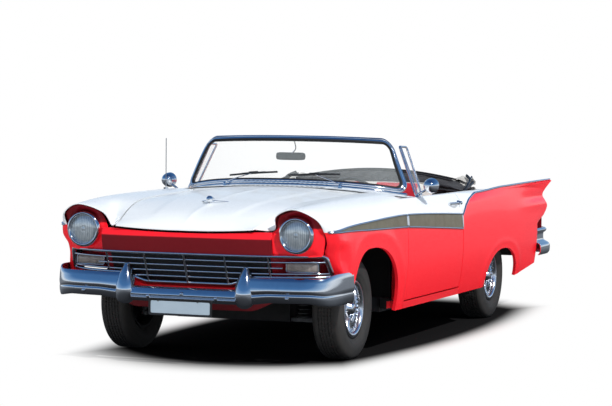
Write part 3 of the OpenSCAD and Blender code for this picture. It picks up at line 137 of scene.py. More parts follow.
class Finish:  # a node tree and the shader at its end
    def __init__(self, name, tree=None):
        if tree is None:
            self.material = bpy.data.materials.new(name)
            self.material.use_nodes = True
            tree = self.material.node_tree
            self.shader = tree.nodes["Principled BSDF"]
        self.tree = tree

    def node(self, kind, settings, inputs, output=0):
        made = self.tree.nodes.new(kind)
        for key, value in settings.items():
            if key == "stops":
                ramp = made.color_ramp
                while len(ramp.elements) < len(value):
                    ramp.elements.new(0.5)
                for element, (place, colour) in zip(ramp.elements, value):
                    element.position, element.color = place, colour if len(colour) == 4 else (*colour, 1)
            else:
                setattr(made, key, value)
        for key, value in inputs.items():
            self.feed(made.inputs[key], value)
        return Signal(self, made.outputs[output])

    def feed(self, socket, value):
        if isinstance(value, Signal):
            self.tree.links.new(value.socket, socket)
        elif socket.type == "RGBA" and len(value) == 3:
            socket.default_value = (*value, 1)
        else:
            socket.default_value = value

    def surface(self, **values):
        names = {"colour": "Base Color", "roughness": "Roughness", "metallic": "Metallic",
                 "coat": "Coat Weight",
                 "coatRoughness": "Coat Roughness", "ior": "IOR", "alpha": "Alpha",
                 "glow": "Emission Color",
                 "glowStrength": "Emission Strength", "normal": "Normal",
                 "specular": "Specular IOR Level",
                 "transmission": "Transmission Weight", "sheen": "Sheen Weight",
                 "sheenRoughness": "Sheen Roughness"}
        for key, value in values.items():
            self.feed(self.shader.inputs[names[key]], value)
        return self.material

    def place(self):
        return self.node("ShaderNodeTexCoord", {}, {}, "Object")

    def axes(self, vector=None):
        vector = vector or self.place()
        split = self.node("ShaderNodeSeparateXYZ", {}, {0: vector})
        outs = split.socket.node.outputs
        return [Signal(self, outs[k]) for k in range(3)]

    def noise(self, scale, detail=4.0, roughness=0.5, vector=None):
        return self.node("ShaderNodeTexNoise", {},
                         {"Vector": vector or self.place(), "Scale": scale, "Detail": detail,
                                                    "Roughness": roughness}, "Fac")

    def mix(self, amount, first, second):
        made = self.node("ShaderNodeMix", {"data_type": "RGBA"}, {0: amount})
        made.socket = made.socket.node.outputs[2]
        self.feed(made.socket.node.inputs[6], first)
        self.feed(made.socket.node.inputs[7], second)
        return made

    def bump(self, height, strength, distance):
        return self.node("ShaderNodeBump", {},
                         {"Height": height, "Strength": strength, "Distance": distance})


def makeFloor():
    mesh = bpy.data.meshes.new("floor")
    half = 150.0
    mesh.from_pydata([(-half, -half, 0), (half, -half, 0), (half, half, 0), (-half, half, 0)], [],
                     [(0, 1, 2, 3)])
    floor = bpy.data.objects.new("floor", mesh)
    bpy.context.scene.collection.objects.link(floor)
    finish = Finish("studioFloor")
    x, y, z = finish.axes()
    reach = (((x - 0.05) / 1.08) ** 2 + ((y + 0.02) / 2.66) ** 2) ** 0.5  # 1 on an oval round the car
    power = finish.node("ShaderNodeMath", {"operation": "MAXIMUM"}, {0: (x / 1.12).size(),
                                                                    1: (y / 2.7).size()})
    reach = reach * 0.5 + power * 0.5
    away = reach.smooth(0.84, 1.14)
    paths = finish.node("ShaderNodeLightPath", {}, {}, "Is Camera Ray")
    glossy = Signal(finish, paths.socket.node.outputs["Is Glossy Ray"])
    # reflections see the floor dark, darkest close to the car: painted shade under the car
    near = finish.node("ShaderNodeMapRange", {}, {0: reach, 1: 1.0, 2: 3.5})
    ground = finish.mix(glossy, (1, 1, 1), finish.mix(near, (0.02, 0.022, 0.026), (0.2, 0.22, 0.25)))
    glow = finish.node("ShaderNodeEmission", {}, {"Color": ground, "Strength": 1.0})
    seen = finish.node("ShaderNodeMath", {"operation": "MAXIMUM"}, {0: paths * away, 1: glossy})
    shader = Signal(finish, finish.shader.outputs[0])
    blend = finish.node("ShaderNodeMixShader", {}, {0: seen, 1: shader, 2: glow})
    # the floor's own colour is near black inside the oval round the car: a painted contact shadow, white
    # outside it
    finish.surface(colour=finish.mix(away, (0.012, 0.012, 0.013), (0.9, 0.9, 0.9)), roughness=0.9,
                   specular=0.0)
    finish.tree.links.new(blend.socket, finish.tree.nodes["Material Output"].inputs[0])
    floor.data.materials.append(finish.material)
    floor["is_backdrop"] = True


def makeSun(place, energy, width):
    data = bpy.data.lights.new("sun", "SUN")
    data.energy, data.angle = energy, math.radians(width)
    data.color = (1.0, 0.97, 0.93)
    lamp = bpy.data.objects.new("sun", data)
    lamp.rotation_mode = "QUATERNION"
    lamp.rotation_quaternion = (-Vector(place)).to_track_quat("-Z", "Y")
    bpy.context.scene.collection.objects.link(lamp)


skyStops = [(0.0, (0.1, 0.1, 0.11)), (0.49, (0.2, 0.22, 0.25)), (0.5, (0.6, 0.66, 0.72)),
            (0.525, (0.8, 0.86, 0.92)),
            (0.57, (0.32, 0.5, 0.74)), (0.68, (0.07, 0.19, 0.42)), (1.0, (0.02, 0.06, 0.18))]


def makeWorld():
    world = bpy.data.worlds.new("studio")
    bpy.context.scene.world = world
    world.use_nodes = True
    tree = world.node_tree
    tree.nodes.clear()
    finish = Finish("studio", tree)
    paths = finish.node("ShaderNodeLightPath", {}, {}, "Is Camera Ray")
    outs = paths.socket.node.outputs
    glossy, through = Signal(finish, outs["Is Glossy Ray"]), Signal(finish, outs["Is Transmission Ray"])
    height = finish.axes(finish.node("ShaderNodeTexCoord", {}, {}, "Generated"))[2]
    sky = finish.node("ShaderNodeValToRGB", {"stops": skyStops}, {0: height * 0.5 + 0.5})
    plain = finish.node("ShaderNodeBackground", {}, {0: (0.9, 0.95, 1.0), 1: 0.62})
    white = finish.node("ShaderNodeBackground", {}, {0: (1, 1, 1), 1: 1.0})
    mirrored = finish.node("ShaderNodeBackground", {}, {0: sky, 1: 1.0})
    first = finish.node("ShaderNodeMixShader", {}, {0: glossy, 1: plain, 2: mirrored})
    seen = finish.node("ShaderNodeMath", {"operation": "MAXIMUM"}, {0: paths, 1: through})
    last = finish.node("ShaderNodeMixShader", {}, {0: seen, 1: first, 2: white})
    out = tree.nodes.new("ShaderNodeOutputWorld")
    tree.links.new(last.socket, out.inputs[0])


makeCamera(cameraSettings)
makeFloor()
makeWorld()
makeSun((0.75, -0.42, 0.85), 3.0, 1.2)
print("camera, floor and lights made")


# finishes

def paintFinish(name, colour, shade, coat=0.3):
    finish = Finish(name)
    wave = finish.noise(5.0, 3.0)
    grain = finish.noise(260.0, 2.0)
    return finish.surface(colour=finish.mix(wave * 0.35, colour, shade), roughness=0.24 + grain * 0.08,
                          coat=coat,
                          coatRoughness=0.05, specular=0.2, normal=finish.bump(grain, 0.02, 0.0004))


def twoToneFinish(stops, upper, lower):  # upper colour above a line given as places along y and heights
    finish = Finish("twoTone")
    x, y, z = finish.axes()
    low, high, far = 0.7, 1.1, 2.8
    ramp = [((a + far) / (2 * far), ((b - low) / (high - low),) * 3) for a, b in stops]
    line = finish.node("ShaderNodeValToRGB", {"stops": ramp}, {0: (y + far) / (2 * far)})
    above = finish.node("ShaderNodeMath", {"operation": "GREATER_THAN"},
                        {0: (z - low) / (high - low), 1: line})
    wave = finish.noise(5.0, 3.0)
    top = finish.mix(wave * 0.4, upper, [c * 0.93 for c in upper])
    side = finish.mix(wave * 0.3, lower, [c * 0.8 for c in lower])
    return finish.surface(colour=finish.mix(above, side, top),
                          roughness=0.24 + finish.noise(260.0, 2.0) * 0.08, coat=0.3,
                          coatRoughness=0.06, specular=0.2,
                          normal=finish.bump(finish.noise(260.0, 2.0), 0.02, 0.0004))


def metalFinish(name, colour, shade, rough, spots=0.12, scale=60.0, bump=0.08):
    finish = Finish(name)
    mottle = finish.noise(scale, 5.0, 0.6)
    return finish.surface(colour=finish.mix(mottle * 0.8, colour, shade), metallic=1.0,
                          roughness=rough + mottle * spots,
                          normal=finish.bump(finish.noise(scale * 3, 3.0), bump, 0.001))


def dullFinish(name, colour, shade, rough, scale=40.0, bump=0.2, specular=0.4):
    finish = Finish(name)
    mottle = finish.noise(scale, 6.0, 0.6)
    return finish.surface(colour=finish.mix(mottle, colour, shade), roughness=rough + mottle * 0.2,
                          specular=specular,
                          normal=finish.bump(finish.noise(scale * 6, 3.0), bump, 0.002))


def vinylFinish(name, colour, shade):
    finish = Finish(name)
    cells = finish.node("ShaderNodeTexVoronoi", {}, {"Vector": finish.place(), "Scale": 520.0},
                        "Distance")
    folds = finish.noise(9.0, 4.0)
    return finish.surface(colour=finish.mix(folds, colour, shade), roughness=0.38 + folds * 0.12,
                          specular=0.4,
                          normal=finish.bump(cells + folds * 2.0, 0.25, 0.0012))


def clothFinish(name, colour, shade, scale=700.0):
    finish = Finish(name)
    x, y, z = finish.axes()
    warp = ((x + z * 0.3) * scale * 6.28).sine()
    weft = ((y + z * 0.6) * scale * 6.28).sine()
    folds = finish.noise(14.0, 5.0)
    return finish.surface(colour=finish.mix(folds, colour, shade), roughness=0.85, sheen=0.25,
                          sheenRoughness=0.5,
                          specular=0.2, normal=finish.bump(warp * weft * 0.4 + folds * 2.0, 0.35,
                                                           0.0015))


beltLine = [(-2.64, 0.846), (-2.45, 0.849), (-1.878, 0.862), (-1.117, 0.860), (-0.559, 0.835),
            (0.0, 0.80), (0.085, 0.80),
            (0.1, 0.857), (0.183, 0.914), (0.29, 0.955), (0.403, 0.979), (1.023, 1.017), (1.723, 1.026),
            (2.6, 1.04)]
whiteColour, redColour = (0.80, 0.84, 0.88), (0.93, 0.012, 0.024)
twoTone = twoToneFinish(beltLine, whiteColour, redColour)
white = paintFinish("whitePaint", whiteColour, [c * 0.93 for c in whiteColour])
red = paintFinish("redPaint", redColour, [c * 0.8 for c in redColour])
darkRed = paintFinish("shadedRedPaint", (0.23, 0.008, 0.014), (0.12, 0.004, 0.008))
chrome = metalFinish("chromePlate", (0.82, 0.84, 0.87), (0.66, 0.68, 0.72), 0.05, 0.07, 24.0, 0.03)
wornChrome = metalFinish("wornChrome", (0.62, 0.63, 0.65), (0.3, 0.28, 0.26), 0.18, 0.25, 90.0, 0.15)
steel = metalFinish("greasySteel", (0.26, 0.255, 0.25), (0.09, 0.075, 0.065), 0.42, 0.3, 35.0, 0.3)
castIron = dullFinish("castIron", (0.05, 0.055, 0.06), (0.022, 0.02, 0.02), 0.5, 30.0, 0.4)
black = dullFinish("chassisPaint", (0.016, 0.016, 0.017), (0.006, 0.006, 0.006), 0.45, 26.0, 0.2)
darkTrim = dullFinish("darkTrim", (0.02, 0.021, 0.024), (0.01, 0.01, 0.011), 0.3, 60.0, 0.1)
rubberSeal = dullFinish("rubberSeal", (0.014, 0.014, 0.015), (0.008, 0.008, 0.008), 0.6, 80.0, 0.2)
vinyl = vinylFinish("redVinyl", (0.62, 0.02, 0.04), (0.42, 0.01, 0.02))
whiteVinyl = vinylFinish("whiteVinyl", (0.78, 0.77, 0.74), (0.6, 0.58, 0.55))
topCloth = clothFinish("topCloth", (0.022, 0.023, 0.03), (0.010, 0.010, 0.014))
paleCloth = clothFinish("paleCloth", (0.62, 0.62, 0.6), (0.36, 0.35, 0.34))


def glassFinish():
    finish = Finish("windowGlass")
    smear = finish.noise(3.0, 5.0)
    return finish.surface(colour=(0.82, 0.9, 0.92), roughness=0.015 + smear * 0.03,
                          alpha=0.055 + smear * 0.05, specular=0.6)


def lensFinish(name, colour, shade, flutes, rough=0.12, metallic=0.55):
    finish = Finish(name)
    x, y, z = finish.axes()
    rib = (x * flutes * 6.28).sine()
    spots = finish.noise(30.0, 3.0)
    return finish.surface(colour=finish.mix(spots * 0.7 + rib * 0.18, colour, shade), roughness=rough,
                          metallic=metallic,
                          coat=1.0, coatRoughness=0.02, normal=finish.bump(rib, 0.35, 0.0015))


def tailFinish():
    finish = Finish("tailLens")
    x, y, z = finish.axes()
    dx = x.size() - 0.796
    ring = ((dx * dx + (z - 0.762) ** 2) ** 0.5 * 900.0).sine()
    return finish.surface(colour=finish.mix(ring * 0.3 + 0.4, (0.5, 0.005, 0.01), (0.22, 0.0, 0.003)),
                          roughness=0.1,
                          coat=1.0, coatRoughness=0.02, normal=finish.bump(ring, 0.4, 0.001))


glass = glassFinish()
headlampLens = lensFinish("headlampLens", (0.5, 0.56, 0.6), (0.1, 0.14, 0.19), 85.0, 0.1)
parkingLens = lensFinish("parkingLens", (0.42, 0.38, 0.36), (0.2, 0.18, 0.17), 110.0, 0.2, 0.1)
tailLens = tailFinish()
plate = dullFinish("platePaint", (0.36, 0.45, 0.53), (0.29, 0.37, 0.45), 0.35, 12.0, 0.05)


def rubberFinish():
    finish = Finish("tyreRubber")
    uv = finish.node("ShaderNodeTexCoord", {}, {}, "UV")
    turn, across, none = finish.axes(uv)
    cut = (turn * 6.28318 * 90.0).sine()
    tread = finish.node("ShaderNodeMapRange", {"interpolation_type": "SMOOTHSTEP"},
                        {0: (across - 0.5).size(), 1: 0.2, 2: 0.16})
    dust = finish.noise(22.0, 6.0, 0.6)
    return finish.surface(colour=finish.mix(dust, (0.022, 0.022, 0.023), (0.045, 0.043, 0.041)),
                          roughness=0.62 + dust * 0.2,
                          specular=0.3, normal=finish.bump(cut * tread + dust * 0.6, 0.5, 0.003))


rubber = rubberFinish()


def floorFinish():  # outside sills in body colour, carpet inside, dark paint below and at the wheels
    finish = Finish("floorPan")
    x, y, z = finish.axes()
    reach = x.size()
    low = finish.node("ShaderNodeMath", {"operation": "LESS_THAN"}, {0: z, 1: 0.324})
    wide = finish.node("ShaderNodeMath", {"operation": "GREATER_THAN"}, {0: reach, 1: 0.835})
    inside = finish.node("ShaderNodeMath", {"operation": "GREATER_THAN"}, {0: z, 1: 0.3445})
    ahead = finish.node("ShaderNodeMath", {"operation": "LESS_THAN"}, {0: y, 1: 0.9})
    mottle = finish.noise(40.0, 5.0)
    under = finish.mix(mottle, (0.02, 0.02, 0.021), (0.008, 0.008, 0.008))
    cabin = finish.mix(mottle, (0.12, 0.012, 0.018), (0.04, 0.006, 0.009))
    colour = finish.mix(inside * ahead, under, cabin)
    return finish.surface(colour=finish.mix(low * wide, colour, redColour),
                          roughness=0.8 - low * wide * 0.5,
                          coat=low * wide * 0.6, coatRoughness=0.04,
                          normal=finish.bump(finish.noise(300.0, 4.0), 0.3, 0.002))


floorPan = floorFinish()


# one colour below a place along an axis, one above it
def splitFinish(name, axis, limit, below, above, rough=0.4):
    finish = Finish(name)
    place = finish.axes()[axis]
    blend = place.smooth(limit - 0.006, limit + 0.006)
    mottle = finish.noise(30.0, 4.0)
    return finish.surface(colour=finish.mix(blend,
                                            finish.mix(mottle * 0.5, below, [c * 0.7 for c in below]),
                                            above), roughness=rough,
                          coat=0.2, coatRoughness=0.08, specular=0.2,
                          normal=finish.bump(finish.noise(200.0, 3.0), 0.06, 0.0008))


# the second colour is the body red darkened into painted shade, for red surfaces that lie in shadow
undercoat, paintedShadeRed = (0.012, 0.012, 0.013), (0.15, 0.004, 0.009)
cowlPaint = splitFinish("cowlPaint", 2, 0.985, undercoat, whiteColour)
# fender insides: dark red painted shade under the headlamp brows in front of y -2.36 m, undercoat behind
fenderInside = splitFinish("fenderInside", 1, -2.36, paintedShadeRed, undercoat, 0.5)
quarterInside = splitFinish("quarterInside", 2, 0.79, undercoat, redColour)
# nose band: dark red painted shade below 0.803 m, where the hood lip shades it, red above
bandWithPaintedShade = splitFinish("bandWithPaintedShade", 2, 0.803, paintedShadeRed, redColour, 0.3)
# headlamp buckets: red below 0.872 m, dark red painted shade above, where the brows shade them
bucketWithPaintedShade = splitFinish("bucketWithPaintedShade", 2, 0.872, redColour, paintedShadeRed, 0.3)
# valance: very dark red painted shade below 0.46 m, red above
valanceWithPaintedShade = splitFinish("valanceWithPaintedShade", 2, 0.46, (0.1, 0.004, 0.008), redColour)
print("finishes made")

# tables and section formulas shared with the part's source, in millimetres

yNose, yTail = -2638.0, 2638.0
yFa, yRa = yNose + 870, yNose + 3867
bw, bz, sill = 968.0, 1003.0, 275.0
skin, gap, seatGap = 22.0, 8.0, 0.3
yDoor, yDoorEnd = yFa + 642, yFa + 1858
doorBottom, doorIn = sill + 55, bw - 118
valance = sill + 155

fenderTable = [
    [yFa - 832, bw - 60, bw - 80, 790, bw - 84, 839, bw - 110, 932, 731, 993, 590, 945, 554, 859, 475,
     868],
    [yFa - 772, bw - 48, bw - 26, 780, bw - 36, 846, bw - 86, 936, 738, 997, 604, 955, 564, 874, 483,
     882],
    [yFa - 690, bw - 44, bw - 12, 765, bw - 26, 852, bw - 76, 944, 752, 1001, 630, 972, 582, 918, 497,
     907],
    [yFa - 530, bw - 48, bw - 8, 700, bw - 26, 862, bw - 76, 957, 785, 1008, 685, 1000, 610, 975, 522,
     960],
    [yFa - 330, bw - 48, bw - 8, 650, bw - 22, 880, bw - 70, 966, 805, 1016, 720, 1018, 640, 1009, 550,
     999],
    [yFa, bw - 42, bw, 640, bw - 14, 900, bw - 64, 978, 820, 1024, 735, 1030, 655, 1026, 574, 1018],
    [yFa + 400, bw - 40, bw, 640, bw - 14, 915, bw - 66, 992, 825, 1030, 740, 1036, 660, 1036, 588,
     1030],
    [yFa + 642, bw - 40, bw, 640, bw - 16, 925, bw - 70, bz, 825, 1033, 745, 1040, 670, 1041, 600, 1038]]
doorTable = [
    [yDoor - 20, bw - 40, bw, 640, bw - 16, 925, bw - 70, bz],
    [yDoor + 608, bw - 40, bw + 1, 640, bw - 16, 925, bw - 70, bz],
    [yDoorEnd + 20, bw - 42, bw, 640, bw - 18, 925, bw - 70, bz]]
quarterTable = [
    [yDoorEnd - 20, bw - 42, bw, 640, bw - 18, 925, bw - 70, bz, bw - 84, bz + 1, bw - 102, bz + 1,
     doorIn, bz],
    [yDoorEnd + 350, bw - 46, bw - 2, 640, bw - 18, 930, bw - 42, 990, bw - 76, 1003, bw - 104, 1003,
     840, 1003],
    [yRa - 110, bw - 52, bw - 6, 640, bw - 24, 945, bw - 38, 1013, bw - 76, 1001, 830, 996, 760, 992],
    [yRa + 120, bw - 56, bw - 6, 640, bw - 26, 945, bw - 38, 1016, bw - 82, 998, 780, 985, 650, 984],
    [yRa + 500, bw - 60, bw - 12, 640, bw - 32, 950, bw - 38, 1021, bw - 88, 978, 780, 958, 636, 954],
    [yRa + 950, bw - 66, bw - 26, 640, bw - 40, 955, bw - 39, 1026, bw - 94, 935, 780, 908, 636, 902],
    [yRa + 1345, bw - 74, bw - 40, 640, bw - 44, 960, bw - 40, 1029, bw - 98, 888, 780, 856, 636, 852]]
tailTable = [[368, 640], [382, 560], [414, 475], [477, 451], [630, 449], [690, 385], [743, 213],
             [789, 130], [813, 122], [871, 182], [927, 204], [975, 150], [1029, 49]]
frontArch = (yFa - 55, 330.0, 540.0, 447.0, 2.5)
rearArch = (yRa - 60, 415.0, 445.0, 270.0, 2.2)


def rowAt(table, place):  # cubic between stations, like the source's row_at
    table, place = np.array(table, float), np.atleast_1d(np.asarray(place, float))
    keys = table[:, 0]
    low, high = np.maximum(np.arange(len(table)) - 1, 0), np.minimum(np.arange(len(table)) + 1,
            len(table) - 1)
    slopes = (table[high] - table[low]) / (keys[high] - keys[low])[:, None]
    i = np.clip(np.searchsorted(keys, place, side="right") - 1, 0, len(table) - 2)
    h = (keys[i + 1] - keys[i])[:, None]
    u = (place[:, None] - keys[i][:, None]) / h
    return ((2 * u**3 - 3 * u**2 + 1) * table[i] + (u**3 - 2 * u**2 + u) * h * slopes[i]
            + (3 * u**2 - 2 * u**3) * table[i + 1] + (u**3 - u**2) * h * slopes[i + 1])


def through(points, t):  # a smooth curve through the points of each row, t from 0 to 1
    n = points.shape[1] - 1
    k = np.minimum(np.floor(np.asarray(t) * n + 1e-9).astype(int), n - 1)
    u = (np.asarray(t) * n - k)[None, :, None]
    a, b = points[:, np.maximum(k - 1, 0)], points[:, k]
    c, d = points[:, k + 1], points[:, np.minimum(k + 2, n)]
    return 0.5 * (2 * b + (c - a) * u + (2 * a - 5 * b + 4 * c - d) * u**2 + (3 * b - a - 3 * c + d)
                  * u**3)


def ease(a, b, x):
    t = np.clip((x - a) / (b - a), 0, 1)
    return t * t * (3 - 2 * t)


def archHeight(arch, y):
    centre, front, back, height, power = arch
    u = np.abs(y - centre) / np.where(y < centre, front, back)
    return np.where(u >= 1, sill,
                    sill + height * np.maximum(0, 1 - np.minimum(u, 1) ** power) ** (1 / power))


def archRidge(arch, y, z):  # a soft raised line that runs round the wheel opening
    centre, front, back, height, power = arch
    u = np.abs(y - centre) / (np.where(y < centre, front, back))
    v = np.maximum(z - sill, 0) / height
    ring = (u**power + v**power) ** (1 / power)
    return np.exp(-((ring - 1.2) / 0.085) ** 2)


def sideX(row, z):
    r = row[:, :, None]
    below = r[:, 2] - (r[:, 2] - r[:, 1]) * ((r[:, 3] - z) / (r[:, 3] - sill)) ** 2
    above = r[:, 2] - (r[:, 2] - r[:, 4]) * ((z - r[:, 3]) / (r[:, 5] - r[:, 3])) ** 2
    return np.where(z < r[:, 3], below, above)


def sideGrid(row, low, count, sourceCount):
    shares = np.linspace(0, 1, count + 1)
    z = low[:, None] + (row[:, 5] - low)[:, None] * shares
    knee = low + (row[:, 5] - low) * (sourceCount - 1) / sourceCount
    kneeX = sideX(row, knee[:, None])[:, 0]
    return np.stack([sideX(row, z), z], 2), np.stack([kneeX, knee], 1)


def inward(section, t):
    a = np.concatenate([section[:, :1], section[:, :-1]], 1)
    b = np.concatenate([section[:, 1:], section[:, -1:]], 1)
    d = b - a
    return section + t * np.stack([-d[..., 1], d[..., 0]], 2) / np.linalg.norm(d, axis=2, keepdims=True)


# pieces

def gridFaces(columns, rows, closeU=False, closeV=False):
    i, j = np.arange(columns if closeU else columns - 1), np.arange(rows if closeV else rows - 1)
    i, j = (a.ravel() for a in np.meshgrid(i, j, indexing="ij"))
    i1, j1 = (i + 1) % columns, (j + 1) % rows
    faces = np.stack([i * rows + j, i1 * rows + j, i1 * rows + j1, i * rows + j1], 1)
    uSpan, vSpan = columns if closeU else columns - 1, rows if closeV else rows - 1
    uv = np.stack([np.stack([(i + a) / uSpan, (j + b) / vSpan], 1) for a,
                   b in ((0, 0), (1, 0), (1, 1), (0, 1))], 1)
    return faces, uv


def outwards(points, faces):  # turns all faces over where the closed form is inside out
    p = points[faces]
    volume = np.einsum("ij,ij->", p[:, 0], np.cross(p[:, 1], p[:, 2])) + np.einsum("ij,ij->", p[:, 0],
            np.cross(p[:, 2], p[:, 3]))
    return volume < 0


def makePiece(name, body, points, faces, materials, index=None, uv=None, bevel=0.0, angle=38,
              slot="chrome", weld=False, check=True):
    points, faces = np.asarray(points, float).reshape(-1, 3), np.asarray(faces)
    if check and outwards(points, faces):
        faces = faces[:, ::-1]
        uv = None if uv is None else uv[:, ::-1]
    mesh = bpy.data.meshes.new(name)
    mesh.from_pydata((points * 0.001).tolist(), [], faces.tolist())
    for material in materials if isinstance(materials, (list, tuple)) else [materials]:
        mesh.materials.append(material)
    if index is not None:
        mesh.polygons.foreach_set("material_index", np.asarray(index, int))
    if uv is not None:
        mesh.uv_layers.new(name="flat").data.foreach_set("uv", uv.reshape(-1))
    if weld:
        form = bmesh.new()
        form.from_mesh(mesh)
        bmesh.ops.remove_doubles(form, verts=form.verts, dist=1e-6)
        form.to_mesh(mesh)
        form.free()
    mesh.polygons.foreach_set("use_smooth", np.ones(len(mesh.polygons), bool))
    mesh.set_sharp_from_angle(angle=math.radians(angle))
    piece = bpy.data.objects.new(name, mesh)
    bpy.context.scene.collection.objects.link(piece)
    if bevel:
        edge = piece.modifiers.new("edge", "BEVEL")
        edge.width, edge.segments = bevel * 0.001, 2
        edge.limit_method, edge.angle_limit = "ANGLE", math.radians(50)
    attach(piece, body)
    return piece


def wallParts(outer, inner):  # closed skin between two grids; index 0 outside and edges, 1 inside
    columns, rows = outer.shape[:2]
    faces, uv = gridFaces(columns, rows)
    o = columns * rows
    i, j = np.arange(columns - 1), np.arange(rows - 1)
    low = np.stack([i * rows, (i + 1) * rows, (i + 1) * rows + o, i * rows + o], 1)
    high = (low + rows - 1)[:, ::-1]
    front = np.stack([j, j + o, j + 1 + o, j + 1], 1)
    back = (front + (columns - 1) * rows)[:, ::-1]
    every = np.concatenate([faces, faces[:, ::-1] + o, low[:, ::-1], high[:, ::-1], front[:, ::-1],
                            back[:, ::-1]])
    index = np.zeros(len(every), int)
    index[len(faces):2 * len(faces)] = 1
    return np.concatenate([outer.reshape(-1, 3), inner.reshape(-1, 3)]), every, index


def makeWall(name, body, outer, inner, materials, side=1, **options):
    points, faces, index = wallParts(outer, inner)
    return makePiece(name, body, points * [side, 1, 1], faces, materials, index=index, **options)


def sweep(path, across, up, profile, closed=False):  # a profile carried along a path
    path, across, up = (np.asarray(a, float) for a in (path, across, up))
    across, up = np.broadcast_to(across, path.shape), np.broadcast_to(up, path.shape)
    ring = path[:, None] + profile[None, :, :1] * across[:, None] + profile[None, :, 1:] * up[:, None]
    if not closed:  # the ends run together in a point, which closes them
        first, last = ring[:1].mean(1, keepdims=True), ring[-1:].mean(1, keepdims=True)
        k = ring.shape[1]
        ring = np.concatenate([np.repeat(first, k, 1), ring, np.repeat(last, k, 1)])
    faces, uv = gridFaces(ring.shape[0], ring.shape[1], closed, True)
    return ring.reshape(-1, 3), faces, uv


def tubePath(path, radius, sides=12, closed=False, flat=1.0):
    path = np.asarray(path, float)
    d = np.roll(path, -1, 0) - np.roll(path, 1, 0) if closed else np.gradient(path, axis=0)
    d /= np.linalg.norm(d, axis=1, keepdims=True)
    guide = np.where(np.abs(d[:, 2:]) > 0.9, [[0.0, 1, 0]], [[0.0, 0, 1]])
    across = np.cross(d, guide)
    across /= np.linalg.norm(across, axis=1, keepdims=True)
    up = np.cross(across, d)
    a = np.linspace(0, 2 * np.pi, sides, endpoint=False)
    return sweep(path, across, up, np.stack([np.cos(a) * radius, np.sin(a) * radius * flat], 1), closed)


def roundBox(w, h, n=20, power=4.0):
    a = np.linspace(0, 2 * np.pi, n, endpoint=False)
    return np.stack([w / 2 * np.sign(np.cos(a)) * np.abs(np.cos(a)) ** (2 / power),
                     h / 2 * np.sign(np.sin(a)) * np.abs(np.sin(a)) ** (2 / power)], 1)


def smoothLine(points, n):
    points = np.asarray(points, float)[None]
    return through(points, np.linspace(0, 1, n))[0]


def lathe(profile, count, centre, axis):  # profile columns: radius, place along the axis
    profile = np.asarray(profile, float)
    a = np.linspace(0, 2 * np.pi, count, endpoint=False)[:, None]
    r, s = profile[None, :, 0], profile[None, :, 1] + 0 * a
    c, d = r * np.cos(a), r * np.sin(a)
    order = {"x": (s, c, d), "y": (c, s, d), "z": (c, d, s)}[axis]
    points = np.stack(order, 2) + np.asarray(centre, float)
    faces, uv = gridFaces(count, profile.shape[0], True)
    if axis == "y":  # this order of axes is a mirror image of the other two
        faces, uv = faces[:, ::-1], uv[:, ::-1]
    return points.reshape(-1, 3), faces, uv


def joined(*parts):  # several point and face sets as one
    points, faces, uvs, base = [], [], [], 0
    for p, f, uv in parts:
        points.append(p)
        faces.append(f + base)
        uvs.append(uv)
        base += len(p)
    return np.concatenate(points), np.concatenate(faces), np.concatenate(uvs)


def mirrored(part):
    points, faces, uv = part
    return points * [-1, 1, 1], faces[:, ::-1], uv[:, ::-1]


def bothSides(part):
    return joined(part, mirrored(part))


def oriented(part):
    points, faces, uv = part
    return (points, faces[:, ::-1], uv[:, ::-1]) if outwards(points, faces) else part


def addPart(name, body, part, material, **options):
    points, faces, uv = part
    return makePiece(name, body, points, faces, material, uv=uv, weld=True, check=False, **options)


# fenders, doors and quarters

leanTable = ([430, 544, 697, 839], [322, 305, 222, 148])
topLean = np.array([148, 63, 8, 64, 125, 0.0])


def leanShare(y):
    return np.clip((yFa - 400 - y) / 432, 0, None) ** 1.15


def groove(y, z):
    return 26 * ease(yFa - 420, yFa - 680, y) * (ease(790, 715, z) - ease(690, 560, z))


def fenderGrids(y, sideCount, topCount):
    row = rowAt(fenderTable, y)
    low = np.maximum(np.where(y < frontArch[0], valance, sill), archHeight(frontArch, y))
    side, knee = sideGrid(row, low, sideCount, 8)
    side = np.concatenate([side, np.interp(side[..., 1], *leanTable)[..., None]], 2)
    knee = np.concatenate([knee, np.interp(knee[:, 1], *leanTable)[:, None]], 1)[:, None]
    extra = row[:, 4:].reshape(len(y), -1, 2)
    extra = np.concatenate([extra, np.broadcast_to(topLean, extra.shape[:2])[..., None]], 2)
    controls = np.concatenate([knee, extra], 1)
    n = controls.shape[1]
    t = (1 + (n - 2) * np.arange(1, topCount + 1) / topCount) / (n - 1)
    section = np.concatenate([side, through(controls, t)], 1)
    yGrid = y[:, None] + 0 * section[..., 0]
    section[..., 0] -= groove(yGrid, section[..., 1]) * (np.arange(section.shape[1]) <= sideCount)
    thick = 5 + 17 * ease(yFa - 832, yFa - 690, y)
    inner = inward(section[..., :2].copy(), thick[:, None, None])
    ridge = 3 * archRidge(frontArch, yGrid, section[..., 1]) * ease(960, 840,
            section[..., 1]) * ease(yFa - 600, yFa - 420, yGrid)
    moved = yGrid + section[..., 2] * leanShare(yGrid)
    outer = np.stack([section[..., 0] + ridge, moved, section[..., 1]], 2)
    back = np.where(yGrid >= yDoor - gap - 0.01, 1.1 * skin, 0)
    return outer, np.stack([inner[..., 0], moved - back, inner[..., 1]], 2)


def doorGrids(y, sideCount, topCount):
    row = rowAt(doorTable, y)
    side, knee = sideGrid(row, np.full(len(y), doorBottom), sideCount, 8)
    controls = np.concatenate([knee[:, None], row[:, 4:].reshape(len(y), -1, 2)], 1)
    section = np.concatenate([side, through(controls, (1 + np.arange(1, topCount + 1) / topCount) / 2)],
                             1)
    yGrid = y[:, None] + 0 * section[..., 0]
    return np.stack([section[..., 0], yGrid, section[..., 1]],
                    2), np.stack([doorIn + 0 * yGrid, yGrid, section[..., 1]], 2)


def tailShift(y, z):
    tail = yTail - rowAt(tailTable, np.clip(z, 368, 1029).ravel())[:, 1].reshape(z.shape)
    y0, y1 = yRa + 960, yRa + 1345
    return np.where(y <= y0, y, y0 + (y - y0) * (tail - y0) / (y1 - y0))


